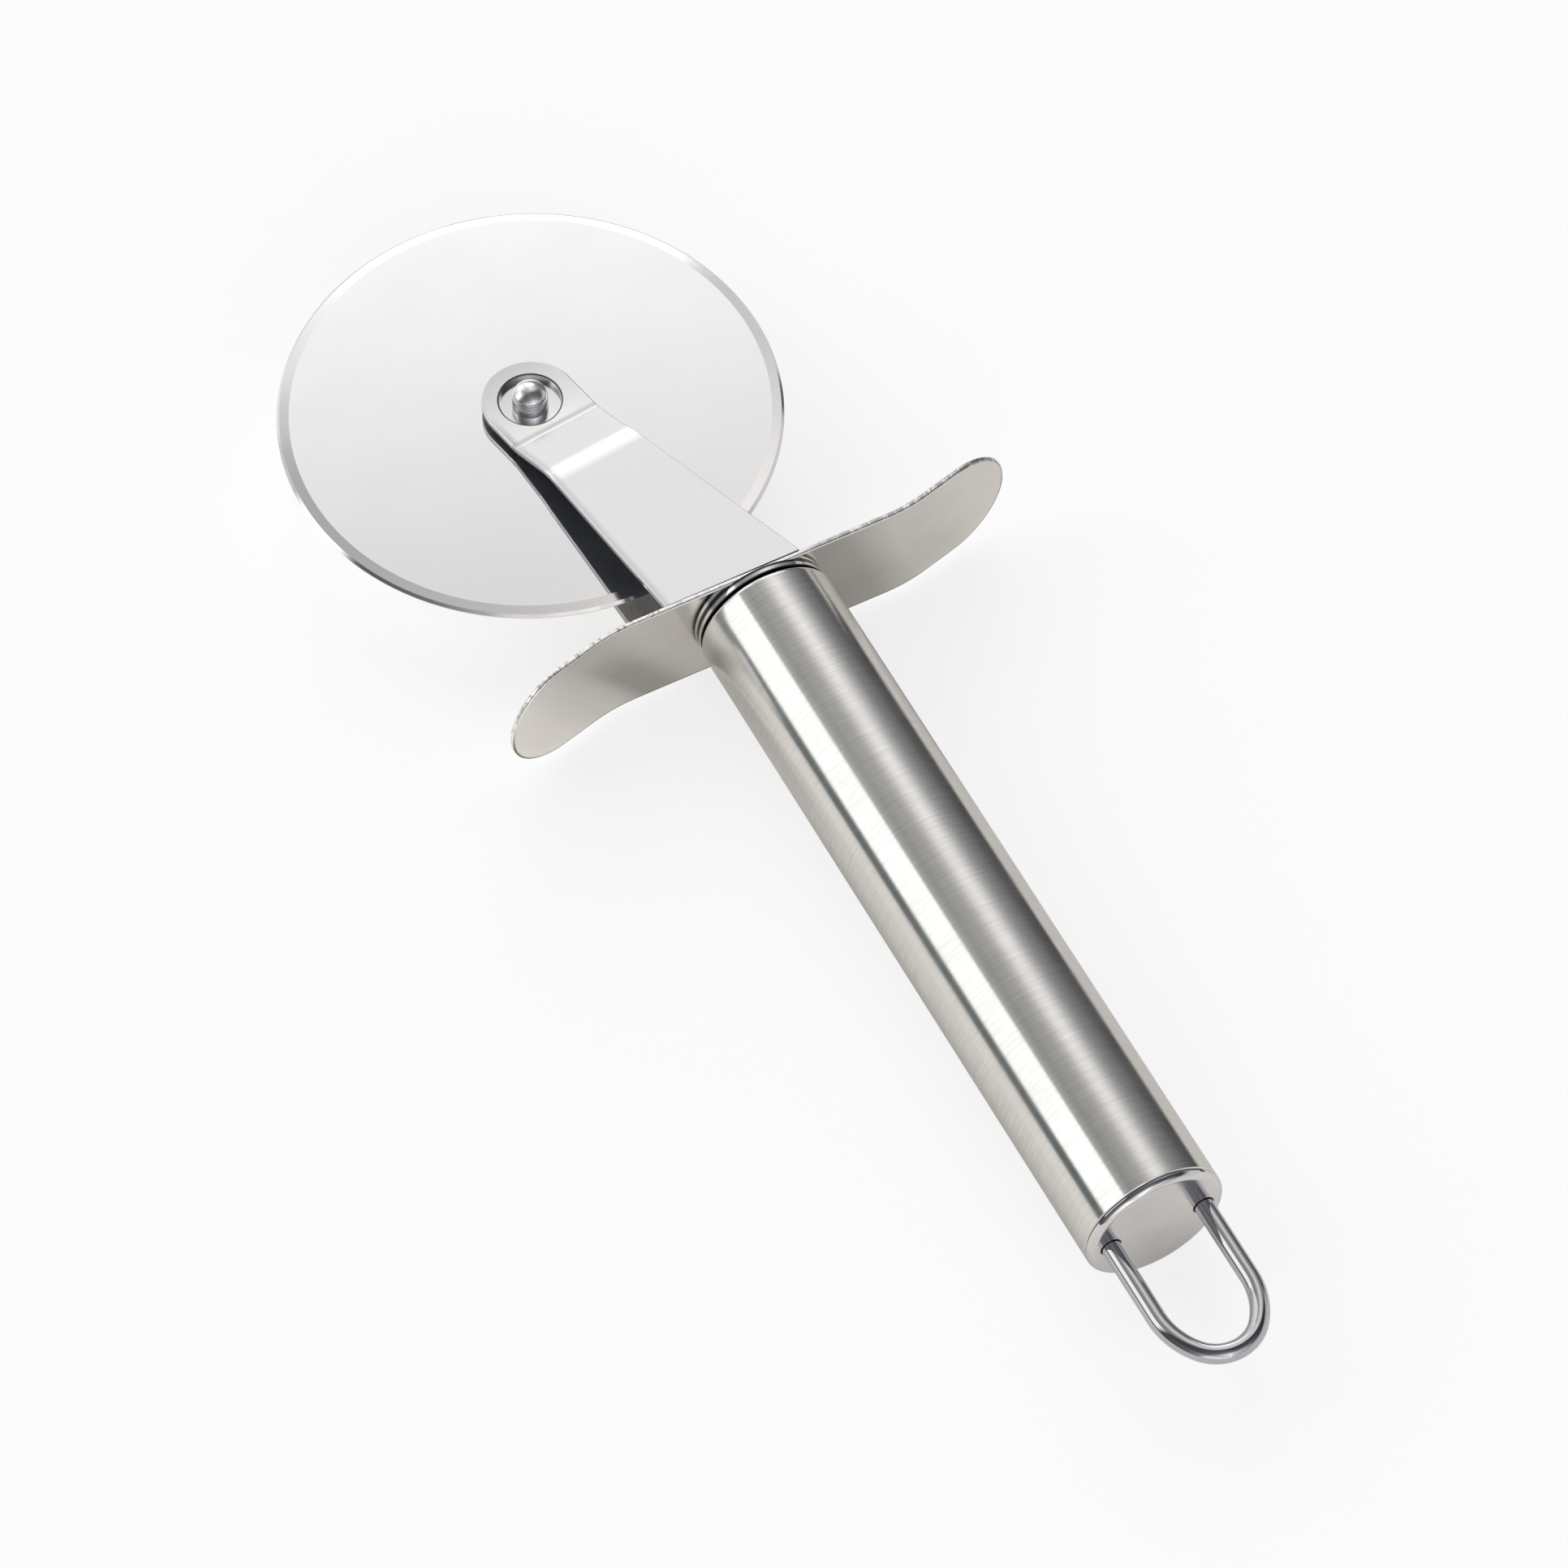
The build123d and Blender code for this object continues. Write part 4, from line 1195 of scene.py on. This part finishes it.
def floor_finish():
    """Pale paper floor: lifted to white for the camera, and with painted shade in the tones that the metal
    mirrors.
    """
    material, graph = new_graph("floor_paper")
    place = graph.place((0.0, GRIP.y, 0.0))
    along, across, _ = graph.parts(place)
    fibre = graph.noise(place, 900.0, 3.0, 0.6)
    paper = graph.mix(graph.span(fibre, *EVEN), (0.80, 0.80, 0.80, 1.0), (0.82, 0.82, 0.82, 1.0))
    tone = metal_floor_tone(graph, along, across)
    path = graph.node("LightPath").outputs
    shader = graph.node("BsdfDiffuse", {"Color": paper, "Normal": graph.bump(fibre, 0.01 * MM)}).outputs[0]
    for ray, paint, light, strength in (
        ("Is Glossy Ray", tone, tone, 0.38),
        ("Is Camera Ray", (0.5, 0.5, 0.5, 1.0), WHITE, 0.72),
    ):
        painted = graph.node("BsdfDiffuse", {"Color": paint}).outputs[0]
        glow = graph.node("Emission", {"Color": light, "Strength": strength}).outputs[0]
        lifted = graph.node("AddShader", {0: painted, 1: glow}).outputs[0]
        shader = graph.node("MixShader", {0: path[ray], 1: shader, 2: lifted}).outputs[0]
    graph.surface(shader)
    return material


class CUTTER_OT_studio(bpy.types.Operator):
    """Set up the floor, the studio light and the camera"""

    bl_idname = "cutter.studio"
    bl_label = "Studio"

    def execute(self, context):
        scene = context.scene
        settings = scene.cutter_studio
        clear_selection()
        bpy.ops.mesh.primitive_plane_add(size=settings.floor_size, location=(0.0, 0.0, CAD_BOX[0].z))
        floor = context.object
        floor.name = floor.data.name = "studio_floor"
        floor.data.materials.append(floor_finish())
        build_world()

        turn, rise, roll = settings.azimuth, settings.elevation, settings.roll
        back = Vector((math.sin(turn) * math.cos(rise), -math.cos(turn) * math.cos(rise), math.sin(rise)))
        flat_right = Vector((math.cos(turn), math.sin(turn), 0.0))
        flat_up = back.cross(flat_right)
        right = flat_right * math.cos(roll) + flat_up * math.sin(roll)
        up = flat_up * math.cos(roll) - flat_right * math.sin(roll)
        centre = settings.frame_width / 2
        scale = settings.distance / settings.focal_pixels
        guard_middle = Vector((COLLAR_FRONT - scene.cutter_guard.sheet, GRIP.y, GRIP.z))
        across, down = (settings.aim_u - centre) * scale, (settings.aim_v - centre) * scale
        aim = guard_middle - right * across + up * down
        place = aim + back * settings.distance
        bpy.ops.object.camera_add(location=place)
        camera = context.object
        camera.name = camera.data.name = "studio_camera"
        axes = Matrix((right, up, back)).transposed()
        camera.matrix_world = Matrix.LocRotScale(place, axes.to_quaternion(), None)
        camera.data.sensor_width = settings.sensor
        camera.data.lens = settings.focal_pixels / settings.frame_width * settings.sensor
        camera.data.clip_end = 10.0
        scene.camera = camera
        scene.view_settings.view_transform = "Standard"
        return {"FINISHED"}


class CUTTER_PT_panel(bpy.types.Panel):
    """Lists the steps that finish the cutter"""

    bl_label = "Rolling Cutter"
    bl_idname = "CUTTER_PT_panel"
    bl_space_type = "VIEW_3D"
    bl_region_type = "UI"
    bl_category = "Cutter"

    def draw(self, context):
        for operator in OPERATORS:
            self.layout.operator(operator.bl_idname)


SETTINGS = {
    "cutter_blade": BladeSettings,
    "cutter_axle": AxleSettings,
    "cutter_fork": ForkSettings,
    "cutter_guard": GuardSettings,
    "cutter_handle": HandleSettings,
    "cutter_end": EndSettings,
    "cutter_studio": StudioSettings,
}
OPERATORS = (
    CUTTER_OT_blade,
    CUTTER_OT_axle,
    CUTTER_OT_fork,
    CUTTER_OT_guard,
    CUTTER_OT_handle,
    CUTTER_OT_end,
    CUTTER_OT_inner,
    CUTTER_OT_studio,
)


def register():
    for kind in (*SETTINGS.values(), *OPERATORS, CUTTER_PT_panel):
        bpy.utils.register_class(kind)
    for name, kind in SETTINGS.items():
        setattr(bpy.types.Scene, name, PointerProperty(type=kind))


def unregister():
    for name in SETTINGS:
        delattr(bpy.types.Scene, name)
    for kind in reversed((*SETTINGS.values(), *OPERATORS, CUTTER_PT_panel)):
        bpy.utils.unregister_class(kind)


def main():
    register()
    bpy.ops.cutter.blade()
    bpy.ops.cutter.axle()
    bpy.ops.cutter.fork()
    bpy.ops.cutter.guard()
    bpy.ops.cutter.handle()
    bpy.ops.cutter.end()
    bpy.ops.cutter.inner()
    bpy.ops.cutter.studio()


if __name__ == "__main__":
    main()
